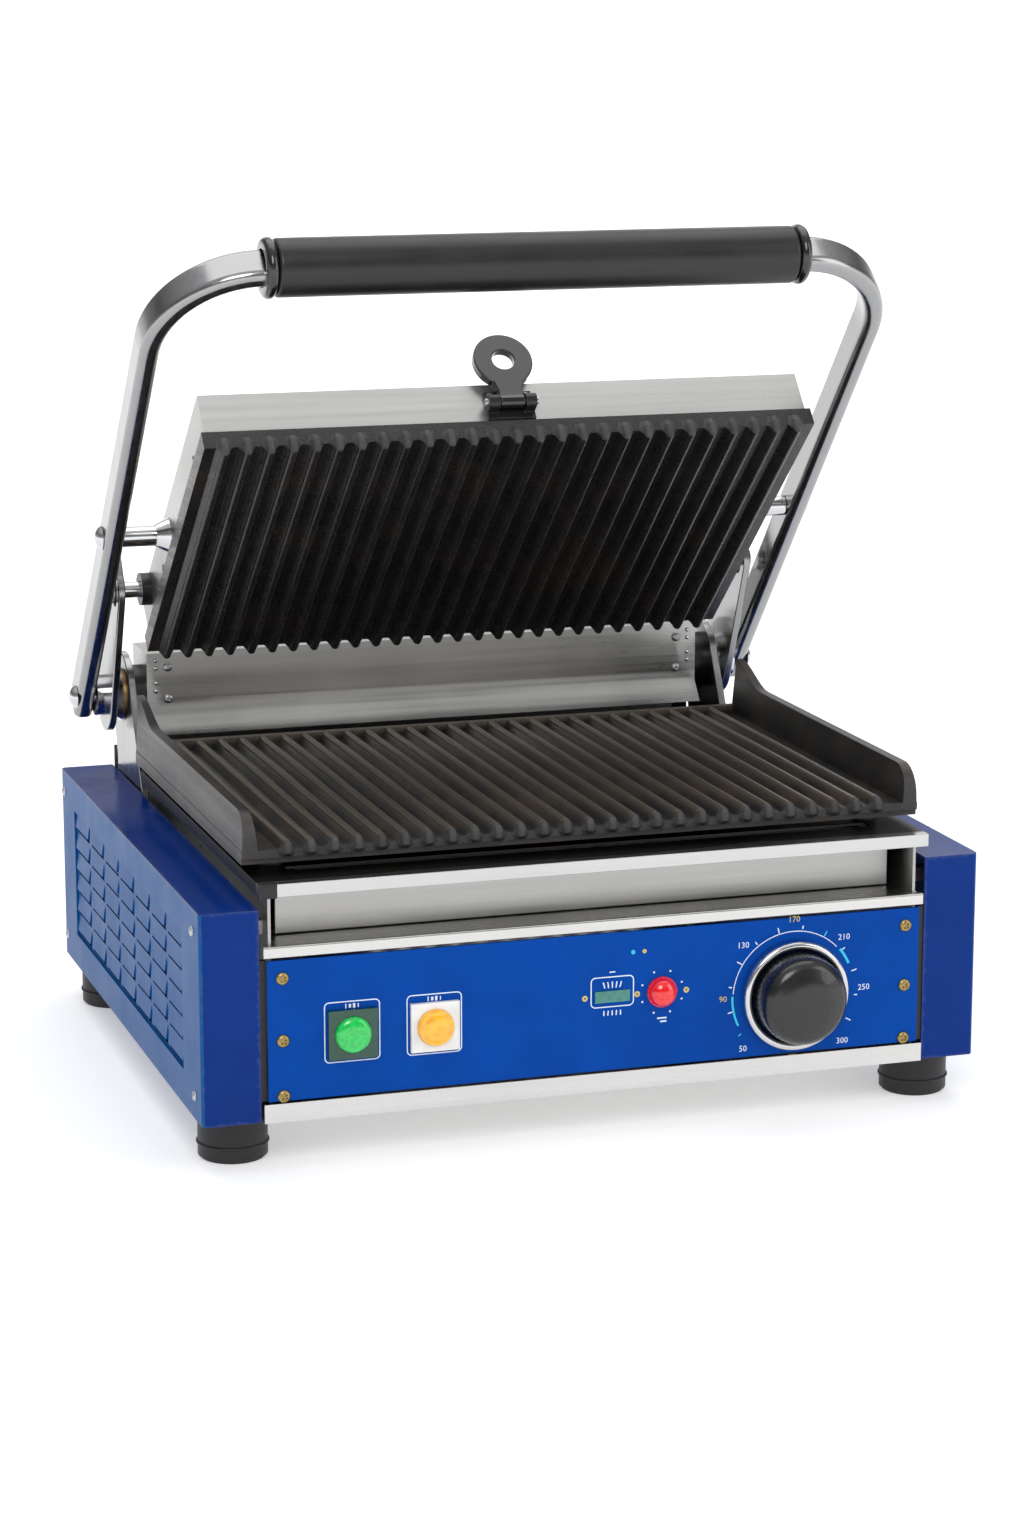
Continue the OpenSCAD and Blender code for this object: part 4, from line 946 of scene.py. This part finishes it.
@dataclass
class SheetMetal:
    """The folded sheet of the base: sides, panel, deck, shelf, floor and the parts behind them."""

    side_edge: float = 0.8 * MM
    fold_edge: float = 0.45 * MM
    panel_edge: float = 0.3 * MM
    block_w: float = 9 * MM
    block_d: float = 3 * MM
    block_proud: float = 0.5 * MM
    screw_r: float = 2.6 * MM
    screw_h: float = 1.3 * MM
    rivet_r: float = 1.3 * MM
    rivet_inset: float = 5 * MM
    rivet_drops: tuple[float, ...] = (4 * MM, 8.5 * MM, 17 * MM, 21.5 * MM)
    seal_gap: float = 0.1 * MM
    seal_depth: tuple[float, float] = (0.8 * MM, 3.5 * MM)
    # Size and place of the black pieces put between the spring housing and the uprights where there is only shade.
    filler_h: float = 24 * MM
    filler_t: float = 3.2 * MM
    filler_lap: float = 0.5 * MM
    filler_proud: float = 0.2 * MM
    filler_lift: float = 0.1 * MM

    def build(self) -> None:
        """Builds and dresses every sheet."""
        for side in ("left", "right"):
            rounded(f"side_panel_{side}", self.side_edge, SIDE_BLUE)
        rounded("control_panel", self.panel_edge, PANEL_BLUE)
        rounded("top_deck", self.fold_edge, DECK)
        rounded("tray_shelf", self.fold_edge, SATIN)
        rounded("bottom_plate", self.fold_edge, SATIN)
        rounded("drip_tray", self.fold_edge, BRUSHED)
        rounded("spring_housing", self.fold_edge, BRUSHED)
        dress(BRUSHED, "chassis", "rear_panel")
        self.end_block()
        self.seals()
        self.shade_fillers()
        self.screws()
        self.rivets()

    def seals(self) -> None:
        """The black strips that close the gaps at both ends of the control panel."""
        low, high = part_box("control_panel")
        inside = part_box("side_panel_right")[0].x
        bm = bmesh.new()
        for side in (-1, 1):
            xs = sorted((side * (high.x + self.seal_gap), side * (inside - self.seal_gap)))
            block(bm, (xs[0], high.y + self.seal_depth[0], low.z),
                  (xs[1], high.y + self.seal_depth[1], high.z))
        register("panel_seals", bm, "base", RUBBER)

    def shade_fillers(self) -> None:
        """Black pieces between the spring housing's back wall and the uprights, put where there is only shade:
        painted shade.
        """
        low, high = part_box("spring_housing")
        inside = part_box("upright_right")[0].x
        bm = bmesh.new()
        for side in (-1, 1):
            xs = sorted((side * (high.x - self.filler_lap), side * (inside - self.filler_proud)))
            block(bm, (xs[0], high.y - self.filler_t, low.z + self.filler_lift),
                  (xs[1], high.y + self.filler_proud, low.z + self.filler_h))
        register("housing_shade_fillers", bm, "base", BLACK)

    def screws(self) -> None:
        """The crossed screws of the side panels and of the spring housing."""
        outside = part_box("side_panel_right")[1].x

        def on_side(centre: Vector) -> Matrix:
            """The place of a side screw's head."""
            side = 1 if centre.x > 0 else -1
            return facing_side(side * outside, centre.y, centre.z, side)

        spots = screw_spots("side_screws", on_side)
        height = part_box("side_screws")[1].x - outside
        screw_heads("side_screw_heads", spots, "base", ZINC, self.screw_r, height, ["side_screws"])
        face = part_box("housing_screws")[0].y + self.screw_h
        spots = screw_spots("housing_screws", lambda c: facing_front(c.x, face, c.z))
        screw_heads("housing_screw_heads", spots, "base", ZINC, self.screw_r, self.screw_h,
                    ["housing_screws"])

    def rivets(self) -> None:
        """Small rivets down both ends of the spring housing's face."""
        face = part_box("housing_screws")[0].y + self.screw_h
        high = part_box("spring_housing")[1]
        r = self.rivet_r
        bm = bmesh.new()
        for side in (-1, 1):
            for drop in self.rivet_drops:
                spot = facing_front(side * (high.x - self.rivet_inset), face, high.z - drop)
                lathe(bm, [(0, -0.5 * MM), (r, -0.5 * MM), (r, 0), (r * 0.85, r * 0.35),
                           (r * 0.5, r * 0.55), (0, r * 0.6)], spot, 20)
        register("housing_rivets", bm, "base", CHROME, crease=50)

    def end_block(self) -> None:
        """The black end block on the left end of the deck's front lip."""
        low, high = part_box("top_deck")
        bm = bmesh.new()
        block(bm, (low.x - self.block_proud, low.y - self.block_proud, low.z - self.block_proud),
              (low.x + self.block_w, low.y + self.block_d, high.z + self.block_proud))
        soften(bm, self.block_proud)
        register("deck_end_block", bm, "base", BLACK)


@dataclass
class PanelPrint:
    """Everything printed on the control panel, and its screws."""

    ink: float = 0.12 * MM
    stroke: float = 0.55 * MM
    fine: float = 0.6 * MM
    frame_w: float = 28.5 * MM
    frame_h: float = 31 * MM
    frame_corner: float = 2.6 * MM
    dial_r: float = 32.5 * MM
    digit_h: float = 4.4 * MM
    screw_r: float = 3.3 * MM
    screw_h: float = 1.5 * MM
    face: float = field(init=False)
    marks: dict[str, BMesh] = field(init=False)

    def __post_init__(self) -> None:
        """Finds the panel's front and starts one mesh for each ink."""
        self.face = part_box("control_panel")[0].y
        self.marks = {colour: bmesh.new() for colour in ("white", "cyan", "yellow")}

    def place(self, x: float, z: float, turn: float = 0.0) -> Matrix:
        """A place on the panel's front, turned clockwise by some degrees as one looks at it."""
        return facing_front(x, self.face, z) @ Matrix.Rotation(-math.radians(turn), 4, "Z")

    def on_ring(self, centre: Vector, radius: float, angle: float, turn: float = 0.0) -> Matrix:
        """A place on a circle round a point of the panel.

        Args:
            centre: The circle's middle.
            radius: Its radius.
            angle: Where on the circle, in degrees anticlockwise from the right.
            turn: How far the mark there is turned clockwise, in degrees.

        Returns:
            The place.
        """
        along, up = math.cos(math.radians(angle)), math.sin(math.radians(angle))
        return self.place(centre.x + radius * along, centre.z + radius * up, turn)

    def bar(self, colour: str, spot: Matrix, width: float, height: float) -> None:
        """Prints a filled bar.

        Args:
            colour: Which ink.
            spot: Its middle on the panel.
            width: Its width.
            height: Its height.
        """
        bm, corner = self.marks[colour], Vector((width / 2, height / 2, self.ink))
        bmesh.ops.transform(bm, matrix=spot, verts=block(bm, -corner, corner))

    def outline(self, colour: str, spot: Matrix, width: float, height: float) -> None:
        """Prints a rounded frame line.

        Args:
            colour: Which ink.
            spot: Its middle on the panel.
            width: Its outer width.
            height: Its outer height.
        """
        bm = bmesh.new()
        bmesh.ops.create_grid(bm, x_segments=1, y_segments=1, size=0.5)
        bmesh.ops.scale(bm, verts=bm.verts, vec=(width, height, 1))
        bmesh.ops.bevel(bm, geom=bm.verts[:], offset=self.frame_corner, offset_type="OFFSET", segments=6,
                        profile=0.5, affect="VERTICES", material=-1)
        inner = bm.faces[:]
        bmesh.ops.inset_region(bm, faces=inner, thickness=self.stroke, use_boundary=True)
        bmesh.ops.delete(bm, geom=inner, context="FACES")
        self.thicken(bm)
        self.merge(colour, bm, spot)

    def thicken(self, bm: BMesh) -> None:
        """Gives a flat mark its thickness, half of it sunk in the panel.

        Args:
            bm: The mark's mesh.
        """
        bmesh.ops.solidify(bm, geom=bm.faces[:], thickness=2 * self.ink)
        heights = [v.co.z for v in bm.verts]
        bmesh.ops.translate(bm, verts=bm.verts, vec=(0, 0, -(min(heights) + max(heights)) / 2))

    def sweep(self, colour: str, spot: Matrix, radius: float, width: float, start: float = 0.0,
              end: float = 360.0) -> None:
        """Prints part of a ring.

        Args:
            colour: Which ink.
            spot: The ring's middle.
            radius: Its inner radius.
            width: Width of the line.
            start: First angle, in degrees anticlockwise from the right.
            end: Last angle.
        """
        bm = bmesh.new()
        ends = [bm.verts.new((radius, 0, 0)), bm.verts.new((radius + width, 0, 0))]
        edge = bm.edges.new(ends)
        turn = Matrix.Rotation(math.radians(start), 3, "Z")
        bmesh.ops.rotate(bm, verts=ends, cent=(0, 0, 0), matrix=turn)
        bmesh.ops.spin(bm, geom=[*ends, edge], cent=(0, 0, 0), axis=(0, 0, 1),
                       angle=math.radians(end - start), steps=max(4, int((end - start) / 4)))
        self.thicken(bm)
        self.merge(colour, bm, spot)

    def merge(self, colour: str, bm: BMesh, spot: Matrix) -> None:
        """Adds a finished mark to its ink's mesh, with its faces outwards.

        Args:
            colour: Which ink.
            bm: The mark's mesh; it is freed.
            spot: Where it goes on the panel.
        """
        bmesh.ops.recalc_face_normals(bm, faces=bm.faces)
        bmesh.ops.transform(bm, matrix=spot, verts=bm.verts)
        mesh = bpy.data.meshes.new("mark")
        bm.to_mesh(mesh)
        bm.free()
        self.marks[colour].from_mesh(mesh)
        bpy.data.meshes.remove(mesh)

    def number(self, colour: str, spot: Matrix, text: str, height: float) -> None:
        """Prints a number.

        Args:
            colour: Which ink.
            spot: Its middle.
            text: The digits.
            height: Height of the digits.
        """
        curve = bpy.data.curves.new("digits", "FONT")
        curve.body, curve.size, curve.extrude = text, height, self.ink
        curve.align_x, curve.align_y = "CENTER", "CENTER"
        curve.resolution_u = 2
        holder = bpy.data.objects.new("digits", curve)
        bm = bmesh.new()
        bm.from_mesh(holder.to_mesh())
        holder.to_mesh_clear()
        bpy.data.objects.remove(holder)
        bpy.data.curves.remove(curve)
        self.merge(colour, bm, spot)

    def button_frames(self) -> None:
        """The frames round the two buttons, each with a small mark above."""
        for node in ("green_switch", "orange_switch"):
            centre = middle(node)
            self.outline("white", self.place(centre.x, centre.z + 1.2 * MM), self.frame_w, self.frame_h)
            for i in range(4):
                wide = self.stroke if i in (0, 3) else 1.2 * MM
                tall = (1.92 if i % 2 else 2.4) * MM
                spot = self.place(centre.x + (i - 1.5) * 2.1 * MM, centre.z + 14.1 * MM)
                self.bar("white", spot, wide, tall)

    def window_marks(self) -> None:
        """The brackets, bars and dots round the small window and the lamp."""
        window, lamp = middle("display_window"), middle("lamp_lens")
        self.outline("white", self.place(window.x, window.z + 2.4 * MM), 23 * MM, 16 * MM)
        for i in range(5):
            x = window.x + (i - 2) * 2.2 * MM
            self.bar("white", self.place(x, window.z + 6 * MM, 8 * (i - 2)), self.fine, 3.2 * MM)
            self.bar("white", self.place(x, window.z - 8.6 * MM, 6 * (i % 2)), self.fine, 2.6 * MM)
        self.bar("white", self.place(window.x, window.z + 12.6 * MM), 3 * MM, self.fine)
        for x in (window.x - 14.5 * MM, (window.x + lamp.x) / 2, lamp.x + 13 * MM):
            self.sweep("yellow", self.place(x, window.z), 0.5 * MM, 1.0 * MM)
        for i in range(8):
            self.bar("white", self.on_ring(lamp, 11.4 * MM, i * 45 + 22.5), 0.9 * MM, 0.9 * MM)
        self.bar("white", self.place(lamp.x, lamp.z - 13.6 * MM), 5 * MM, 0.8 * MM)
        self.bar("white", self.place(lamp.x + 0.8 * MM, lamp.z - 15.4 * MM), 3.4 * MM, 0.8 * MM)
        for x, colour in ((window.x + 11 * MM, "cyan"), (window.x + 17 * MM, "yellow")):
            self.sweep(colour, self.place(x, window.z + 22 * MM), 0.2 * MM, 0.9 * MM)

    def dial(self) -> None:
        """The scale round the knob: two arcs, ticks and temperatures."""
        centre = middle("knob_bezel")
        spot = self.place(centre.x, centre.z)
        arcs = (("white", 0.45 * MM, 44, 176), ("cyan", 1.1 * MM, 178, 206), ("cyan", 1.3 * MM, 24, 40))
        for colour, width, start, end in arcs:
            self.sweep(colour, spot, self.dial_r, width, start, end)
        for i in range(12):
            angle = 214 - i * 22
            long = (3.0 if i % 2 else 1.8) * MM
            at = self.on_ring(centre, self.dial_r + 2.2 * MM, angle, 90 - angle)
            self.bar("cyan" if i in (0, 7) else "white", at, self.fine, long)
        for i, text in enumerate(("50", "90", "130", "170", "210", "250", "300")):
            far = self.dial_r + (6.4 if len(text) > 2 else 5.6) * MM
            colour = "yellow" if i in (1, 3) else "white"
            self.number(colour, self.on_ring(centre, far, 225 - i * 45), text, self.digit_h)
        self.bar("yellow", self.place(centre.x, centre.z - self.dial_r - 0.4 * MM), 4 * MM, 1.4 * MM)

    def build(self) -> None:
        """Prints every mark and sets the panel's screws."""
        self.button_frames()
        self.window_marks()
        self.dial()
        inks = {"white": WHITE_INK, "cyan": CYAN_INK, "yellow": YELLOW_INK}
        for colour, bm in self.marks.items():
            register(f"panel_print_{colour}", bm, "base", inks[colour])
        spots = screw_spots("panel_screws", lambda c: facing_front(c.x, self.face, c.z))
        screw_heads("panel_screw_heads", spots, "base", BRASS, self.screw_r, self.screw_h,
                    ["panel_screws"])


@dataclass
class Controls:
    """The knob and its ring, the two push buttons, the lamp and the small window."""

    knob_corner: float = 7.5 * MM
    knob_crown: float = 2.6 * MM
    knob_bore: float = 3.1 * MM
    flute: float = 0.986
    switch_edge: float = 1.4 * MM
    knob_steps: int = 96
    lamp_flange: float = 1.2 * MM
    bore_depth: float = 7.6 * MM
    hub_r: float = 6 * MM
    hub_rise: float = 4 * MM
    skirt_h: float = 9 * MM
    shoulder_h: float = 13 * MM

    def knob(self) -> None:
        """The knob: a fluted skirt that runs into a large rounded face."""
        low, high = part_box("knob")
        centre, r, deep = middle("knob"), (high.x - low.x) / 2, high.y - low.y
        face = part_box("control_panel")[0].y
        foot = face - high.y
        top = foot + deep
        bore_end = top - self.bore_depth
        bend = (r - 0.7 * MM - self.knob_corner, top - self.knob_crown - self.knob_corner)
        inside = [(0, bore_end), (self.knob_bore, bore_end), (self.knob_bore, self.hub_rise),
                  (self.hub_r, self.hub_rise), (self.hub_r, foot)]
        skirt = [(r - 0.5 * MM, foot), (r, foot + 0.6 * MM), (r, foot + self.skirt_h),
                 (r - 0.35 * MM, foot + self.shoulder_h)]
        crown = [(r * share, top - self.knob_crown * drop)
                 for share, drop in ((0.62, 0.62), (0.45, 0.3), (0.22, 0.08), (0, 0))]
        outline = [*inside, *skirt, *arc(self.knob_corner, 0, 78, bend), *crown]
        bm = bmesh.new()
        verts = lathe(bm, outline, Matrix.Identity(4), self.knob_steps)
        for v in verts:
            column = round(math.atan2(v.co.y, v.co.x) / (2 * math.pi) * self.knob_steps)
            if column % 2 and v.co.xy.length > r - 0.4 * MM and v.co.z > foot + 0.3 * MM:
                v.co.xy *= self.flute
        bmesh.ops.transform(bm, matrix=facing_front(centre.x, face, centre.z), verts=bm.verts)
        register("knob_moulding", bm, "knob", KNOB, ["knob"], crease=50)
        dress(CHROME, "knob_bezel")

    def cap(self, node: str, finish: Finish, outline: Sequence[tuple[float, float]]) -> None:
        """A push button's cap on its stem.

        Args:
            node: The CAD node of the button.
            finish: Its colour.
            outline: The front of its outline from the rim to the axis, as shares of its radius and as
                depths behind its front.
        """
        low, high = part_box(node)
        centre, r = middle(node), (high.x - low.x) / 2
        deep = high.y - low.y
        points = [(0, 0), (r, 0), *[(r * share, deep - back) for share, back in outline]]
        bm = bmesh.new()
        lathe(bm, points, facing_front(centre.x, high.y, centre.z), 56)
        register(f"{node}_cap", bm, node, finish, [node], crease=50)

    def build(self) -> None:
        """Builds and dresses every control."""
        self.knob()
        dome = [(1, 3.6 * MM), (0.985, 2.6 * MM), (0.93, 1.75 * MM), (0.82, 1.05 * MM), (0.64, 0.5 * MM),
                (0.36, 0.13 * MM), (0, 0)]
        self.cap("green_button", GREEN, dome)
        flat = [(1, 2.4 * MM), (0.97, 1.2 * MM), (0.9, 0.75 * MM), (0.8, 0.75 * MM), (0.76, 1.0 * MM),
                (0.7, 0.95 * MM), (0.62, 0.5 * MM), (0.5, 0.2 * MM), (0.3, 0.05 * MM), (0, 0)]
        self.cap("orange_button", ORANGE, flat)
        rounded("green_switch", self.switch_edge, DARK_GREEN, 3)
        rounded("orange_switch", self.switch_edge, WHITE, 3)
        self.lamp()
        dress(TEAL, "display_window")
        dress(WHITE, "lamp_holder", "terminal_block")
        dress(PHENOLIC, "thermostat")

    def lamp(self) -> None:
        """The lamp's domed lens on its flange."""
        low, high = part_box("lamp_lens")
        centre, r, deep = middle("lamp_lens"), (high.x - low.x) / 2, high.y - low.y
        flange = self.lamp_flange
        dome = [(r * 0.93 * math.cos(t), flange + (deep - flange) * math.sin(t))
                for t in [math.radians(9 * i) for i in range(10)]]
        bm = bmesh.new()
        lathe(bm, [(0, 0), (r, 0), (r, flange - 0.4 * MM), (r * 0.97, flange), *dome, (0, deep)],
              facing_front(centre.x, high.y, centre.z), 48)
        register("lamp_dome", bm, "base", RED, ["lamp_lens"], crease=50)


@dataclass
class Plates:
    """The two ribbed castings and what heats them."""

    rib_pitch: float = 12 * MM
    rib_h: float = 5 * MM
    rib_r: float = 2.2 * MM
    plate_t: float = 6.7 * MM
    wall_t: float = 8.6 * MM
    nose_depth: float = 0.62
    nose_root: float = 0.5 * MM
    nose_steps: int = 6
    lower_run: tuple[float, float] = (1.4 * MM, 2.2 * MM)
    upper_run: tuple[float, float] = (1.6 * MM, 4 * MM)
    edge: float = 0.6 * MM
    cover_edge: float = 1.1 * MM

    def nose(self, bm: BMesh, place: Matrix, drop: float, fade: float) -> None:
        """One rib's rounded end, which turns over the casting's edge and runs out down its face.

        Args:
            bm: The mesh being built.
            place: The foot of the rib on the casting's face, with -Y outwards and Z along the rib's height.
            drop: How far the nose runs straight down the face.
            fade: How far it then takes to run out.
        """
        before = set(bm.verts)
        foot, top = self.rib_pitch * 0.36, self.rib_h - self.rib_r
        rim = [(-foot, 0), *reversed(arc(self.rib_r, 0, 180, (0, top), 8)), (foot, 0)]
        face = bm.faces.new([bm.verts.new((x, self.nose_root, z)) for x, z in rim])
        face = pull(bm, face, (0, -self.nose_root, 0))
        step = Matrix.Rotation(math.pi / 2 / self.nose_steps, 3, "X")
        for _ in range(self.nose_steps):
            face = pull(bm, face, turn=step, about=Vector((0, 0, 0)))
        outer = [v for v in added(bm, before) if v.co.y < -1e-6]
        bmesh.ops.scale(bm, verts=outer, vec=(1, self.nose_depth, 1))
        face = pull(bm, face, (0, 0, -drop))
        pull(bm, face, (0, 0, -fade), (0.75, 0.25, 1), about=Vector((0, 0, -drop)))
        bmesh.ops.remove_doubles(bm, verts=added(bm, before), dist=1e-6)
        own = added(bm, before)
        bmesh.ops.recalc_face_normals(bm, faces=list({f for v in own for f in v.link_faces}))
        bmesh.ops.transform(bm, matrix=place, verts=own)

    def rib_xs(self, width: float, walls: float) -> list[float]:
        """Where the ribs stand across a casting of a given width, between walls of a given thickness."""
        count = int((width - 2 * walls - self.rib_pitch / 2) / self.rib_pitch)
        return [(i - (count - 1) / 2) * self.rib_pitch for i in range(count)]

    def lower(self) -> None:
        """The lower casting and the fluted edge along its front."""
        low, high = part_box("lower_plate")
        rounded("lower_plate", self.edge, IRON)
        bm = bmesh.new()
        foot_z = low.z + self.plate_t
        for x in self.rib_xs(high.x - low.x, self.wall_t):
            self.nose(bm, Matrix.Translation((x, low.y, foot_z)), *self.lower_run)
        register("lower_plate_edge", bm, "base", IRON_EDGE, crease=60)

    def upper(self) -> None:
        """The upper casting with rounded rib ends along its front and its back."""
        place = plate_place()
        low, high = box_in("upper_plate", place)
        rounded("upper_plate", self.edge, IRON_TOP)
        bm = bmesh.new()
        foot_z = low.z + self.rib_h
        over, about = Matrix.Rotation(math.pi, 4, "Y"), Matrix.Rotation(math.pi, 4, "Z")
        for x in self.rib_xs(high.x - low.x, 0):
            for y, turn in ((low.y, over), (high.y, over @ about)):
                self.nose(bm, place @ Matrix.Translation((x, y, foot_z)) @ turn, *self.upper_run)
        register("upper_plate_edge", bm, "upper_grill", IRON_EDGE, crease=60)

    def build(self) -> None:
        """Builds both castings and dresses what heats them."""
        self.lower()
        self.upper()
        rounded("upper_cover", self.cover_edge, BRUSHED, 3)
        dress(ZINC, "cover_screws")
        dress(HEATER, "lower_element", "upper_element")
        dress(FOIL, "heat_shield")
        dress(POST, "plate_posts")


@dataclass
class HandleWork:
    """The handle, its axle, links and uprights, and everything that turns with them."""

    grip_edge: float = 2.2 * MM
    blade_edge: float = 0.6 * MM
    rim_t: float = 6 * MM

    def grip(self) -> None:
        """The grip's long sleeve and a rolled rim at each of its ends."""
        low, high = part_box("grip")
        centre, r, long = middle("grip"), (high.z - low.z) / 2, high.x - low.x
        along = Matrix.Translation((low.x, centre.y, centre.z)) @ Matrix.Rotation(math.pi / 2, 4, "Y")
        bm = bmesh.new()
        ends = arc(self.grip_edge, -90, 0, (r - self.grip_edge, self.grip_edge))
        tops = arc(self.grip_edge, 0, 90, (r - self.grip_edge, long - self.grip_edge))
        lathe(bm, [(0, 0), *ends, *tops, (0, long)], along, 72)
        register("grip_sleeve", bm, "handle", GRIP, ["grip"], crease=50)
        self.rims(centre, r)

    def rims(self, centre: Vector, r: float) -> None:
        """The two rolled rims.

        Args:
            centre: The grip's middle.
            r: The grip's radius.
        """
        low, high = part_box("grip_caps")
        rim_r, half = (high.z - low.z) / 2, self.rim_t / 2
        roll = arc(half, -90, 90, (rim_r - half, half))
        bore, throat = r * 0.66, r * 0.62
        outline = [(bore, 0), *roll, (bore, self.rim_t), (throat, half), (bore, 0)]
        bm = bmesh.new()
        for side in (-1, 1):
            spot = facing_side(side * (high.x - self.rim_t), centre.y, centre.z, side)
            lathe(bm, outline, spot, 64)
        register("grip_rims", bm, "handle", GLOSS, ["grip_caps"], crease=50)

    def build(self) -> None:
        """Builds and dresses the handle and the blades at the axle."""
        self.grip()
        dress(TUBE, "handle_tube", "axle")
        dress(CHROME, "axle_bolts", "axle_collars", "pivot_rods", "pivot_bolts", "rear_studs")
        for side in ("left", "right"):
            rounded(f"upright_{side}", self.blade_edge, LINK)
            rounded(f"swing_link_{side}", self.blade_edge, LINK)
        dress(ZINC, "upright_bolts", "foot_screws")
        dress(BRONZE, "axle_bushes")
        dress(COIL, "spring_left", "spring_right")
        dress(BLACK, "spring_hubs", "stud_bushes", "cable_gland")


@dataclass
class Latch:
    """The latch at the front of the upper plate."""

    tab_edge: float = 1.2 * MM
    plate_edge: float = 0.5 * MM
    screw_x: float = 9.8 * MM
    screw_r: float = 2.0 * MM
    screw_h: float = 1.0 * MM
    screw_inset: float = 2 * MM
    screw_drop: float = 3 * MM

    def build(self) -> None:
        """Builds and dresses the latch."""
        rounded("latch_tab", self.tab_edge, GLOSS, 3)
        rounded("latch_bracket", self.plate_edge, BLACK)
        dress(ZINC, "latch_pin")
        place = plate_place()
        cover, bracket = box_in("upper_cover", place), box_in("latch_bracket", place)
        face, height = cover[0].y - self.screw_inset, bracket[1].z - self.screw_drop
        spots = [place @ facing_front(side * self.screw_x, face, height) for side in (-1, 1)]
        screw_heads("latch_screws", spots, "upper_grill", ZINC, self.screw_r, self.screw_h)


@dataclass
class Feet:
    """The four feet."""

    edge: float = 0.7 * MM

    def build(self) -> None:
        """Rounds and dresses the feet."""
        for end in ("front", "rear"):
            for side in ("left", "right"):
                rounded(f"foot_{end}_{side}", self.edge, RUBBER)


# ---------- studio ----------


@dataclass
class Studio:
    """Camera, floor, lights and sky."""

    camera_at: Point = (-0.585, -1.852, 0.584)
    yaw: float = 17.77
    pitch: float = 12.49
    lens: float = 86.4
    sensor: float = 36.0
    floor_size: float = 30.0
    glow_reach: tuple[float, float] = (0.5, 3.2)
    floor_glow: tuple[float, float] = (0.36, 0.98)
    sky_tones: tuple[tuple[float, float], ...] = ((0.1, 0.42), (0.3, 0.16), (0.55, 0.42))
    aim: Point = (0, 0, 0.2)

    def camera(self) -> None:
        """The camera."""
        data = bpy.data.cameras.new("camera")
        data.lens, data.sensor_width = self.lens, self.sensor
        camera = bpy.data.objects.new("camera", data)
        camera.location = self.camera_at
        camera.rotation_euler = (math.radians(90 - self.pitch), 0, -math.radians(self.yaw))
        bpy.context.scene.collection.objects.link(camera)
        bpy.context.scene.camera = camera

    def floor(self) -> None:
        """A plain pale floor that glows more with distance, so that it fades into the sky."""
        bm = bmesh.new()
        bmesh.ops.create_grid(bm, x_segments=1, y_segments=1, size=self.floor_size / 2)
        mesh = bpy.data.meshes.new("floor")
        bm.to_mesh(mesh)
        bm.free()
        floor = bpy.data.objects.new("floor", mesh)
        bpy.context.scene.collection.objects.link(floor)
        w = Wiring("pale_floor")
        cloud = w.noise(3, 2.0)
        w.shader.inputs["Emission Color"].default_value = (1, 1, 1, 1)
        squares = [w.maths("POWER", w.unsigned(w.axis(name)), 2.0) for name in "XY"]
        reach = w.maths("SQRT", w.maths("ADD", *squares), 0.0)
        w.wire(w.span(reach, self.glow_reach, self.floor_glow), w.shader.inputs["Emission Strength"])
        mesh.materials.append(w.close(w.tint(cloud, (0.8, 0.8, 0.805), (0.82, 0.82, 0.825)),
                                      w.span(cloud, (0.3, 0.7), (0.6, 0.7)),
                                      w.bump(w.noise(400, 2.0), 0.02, 0.0002),
                                      Specular_IOR_Level=0.1))

    def light(self, name: str, at: Point, size: tuple[float, float], power: float) -> None:
        """A soft rectangular light that faces the aim.

        Args:
            name: Its name.
            at: Where it stands.
            size: Its width and height.
            power: Its power in watts.
        """
        data = bpy.data.lights.new(name, "AREA")
        data.shape, data.size, data.size_y, data.energy = "RECTANGLE", size[0], size[1], power
        lamp = bpy.data.objects.new(name, data)
        lamp.location = at
        lamp.rotation_euler = (Vector(self.aim) - Vector(at)).to_track_quat("-Z", "Y").to_euler()
        bpy.context.scene.collection.objects.link(lamp)

    def sky(self) -> None:
        """A sky that is white at the horizon, darker above it and pale overhead."""
        world = bpy.data.worlds.new("sky")
        world.use_nodes = True
        tree = world.node_tree
        background = tree.nodes["Background"]
        split = tree.nodes.new("ShaderNodeSeparateXYZ")
        tree.links.new(tree.nodes.new("ShaderNodeTexCoord").outputs["Generated"], split.inputs["Vector"])
        ramp = tree.nodes.new("ShaderNodeValToRGB")
        stops = ramp.color_ramp.elements
        stops[0].position, stops[0].color = 0.03, (1, 1, 1, 1)
        stops[1].position, stops[1].color = 0.9, (0.74, 0.75, 0.77, 1)
        for place, tone in self.sky_tones:
            stops.new(place).color = (tone, tone, tone * 1.03, 1)
        tree.links.new(split.outputs["Z"], ramp.inputs["Fac"])
        tree.links.new(ramp.outputs["Color"], background.inputs["Color"])
        background.inputs["Strength"].default_value = 1.0
        bpy.context.scene.world = world

    def build(self) -> None:
        """Sets the whole studio."""
        self.camera()
        self.floor()
        self.sky()
        self.light("key", (-0.8, -2.3, 2.0), (1.3, 1.3), 28)
        self.light("fill", (2.0, -1.6, 1.2), (1.2, 1.8), 15)
        self.light("top", (0.1, 0.5, 2.4), (2.8, 2.0), 24)
        self.light("back", (0.5, 2.2, 1.3), (2.2, 1.2), 9)
        bpy.context.scene.view_settings.view_transform = "Standard"


def main() -> None:
    """Builds the studio and every sub-assembly in order."""
    logging.basicConfig(level=logging.INFO, format="%(message)s")
    for part in (Studio(), SheetMetal(), Feet(), Plates(), HandleWork(), Latch(), Controls(), PanelPrint()):
        log.info("== %s", type(part).__name__)
        part.build()


if __name__ == "__main__":
    main()
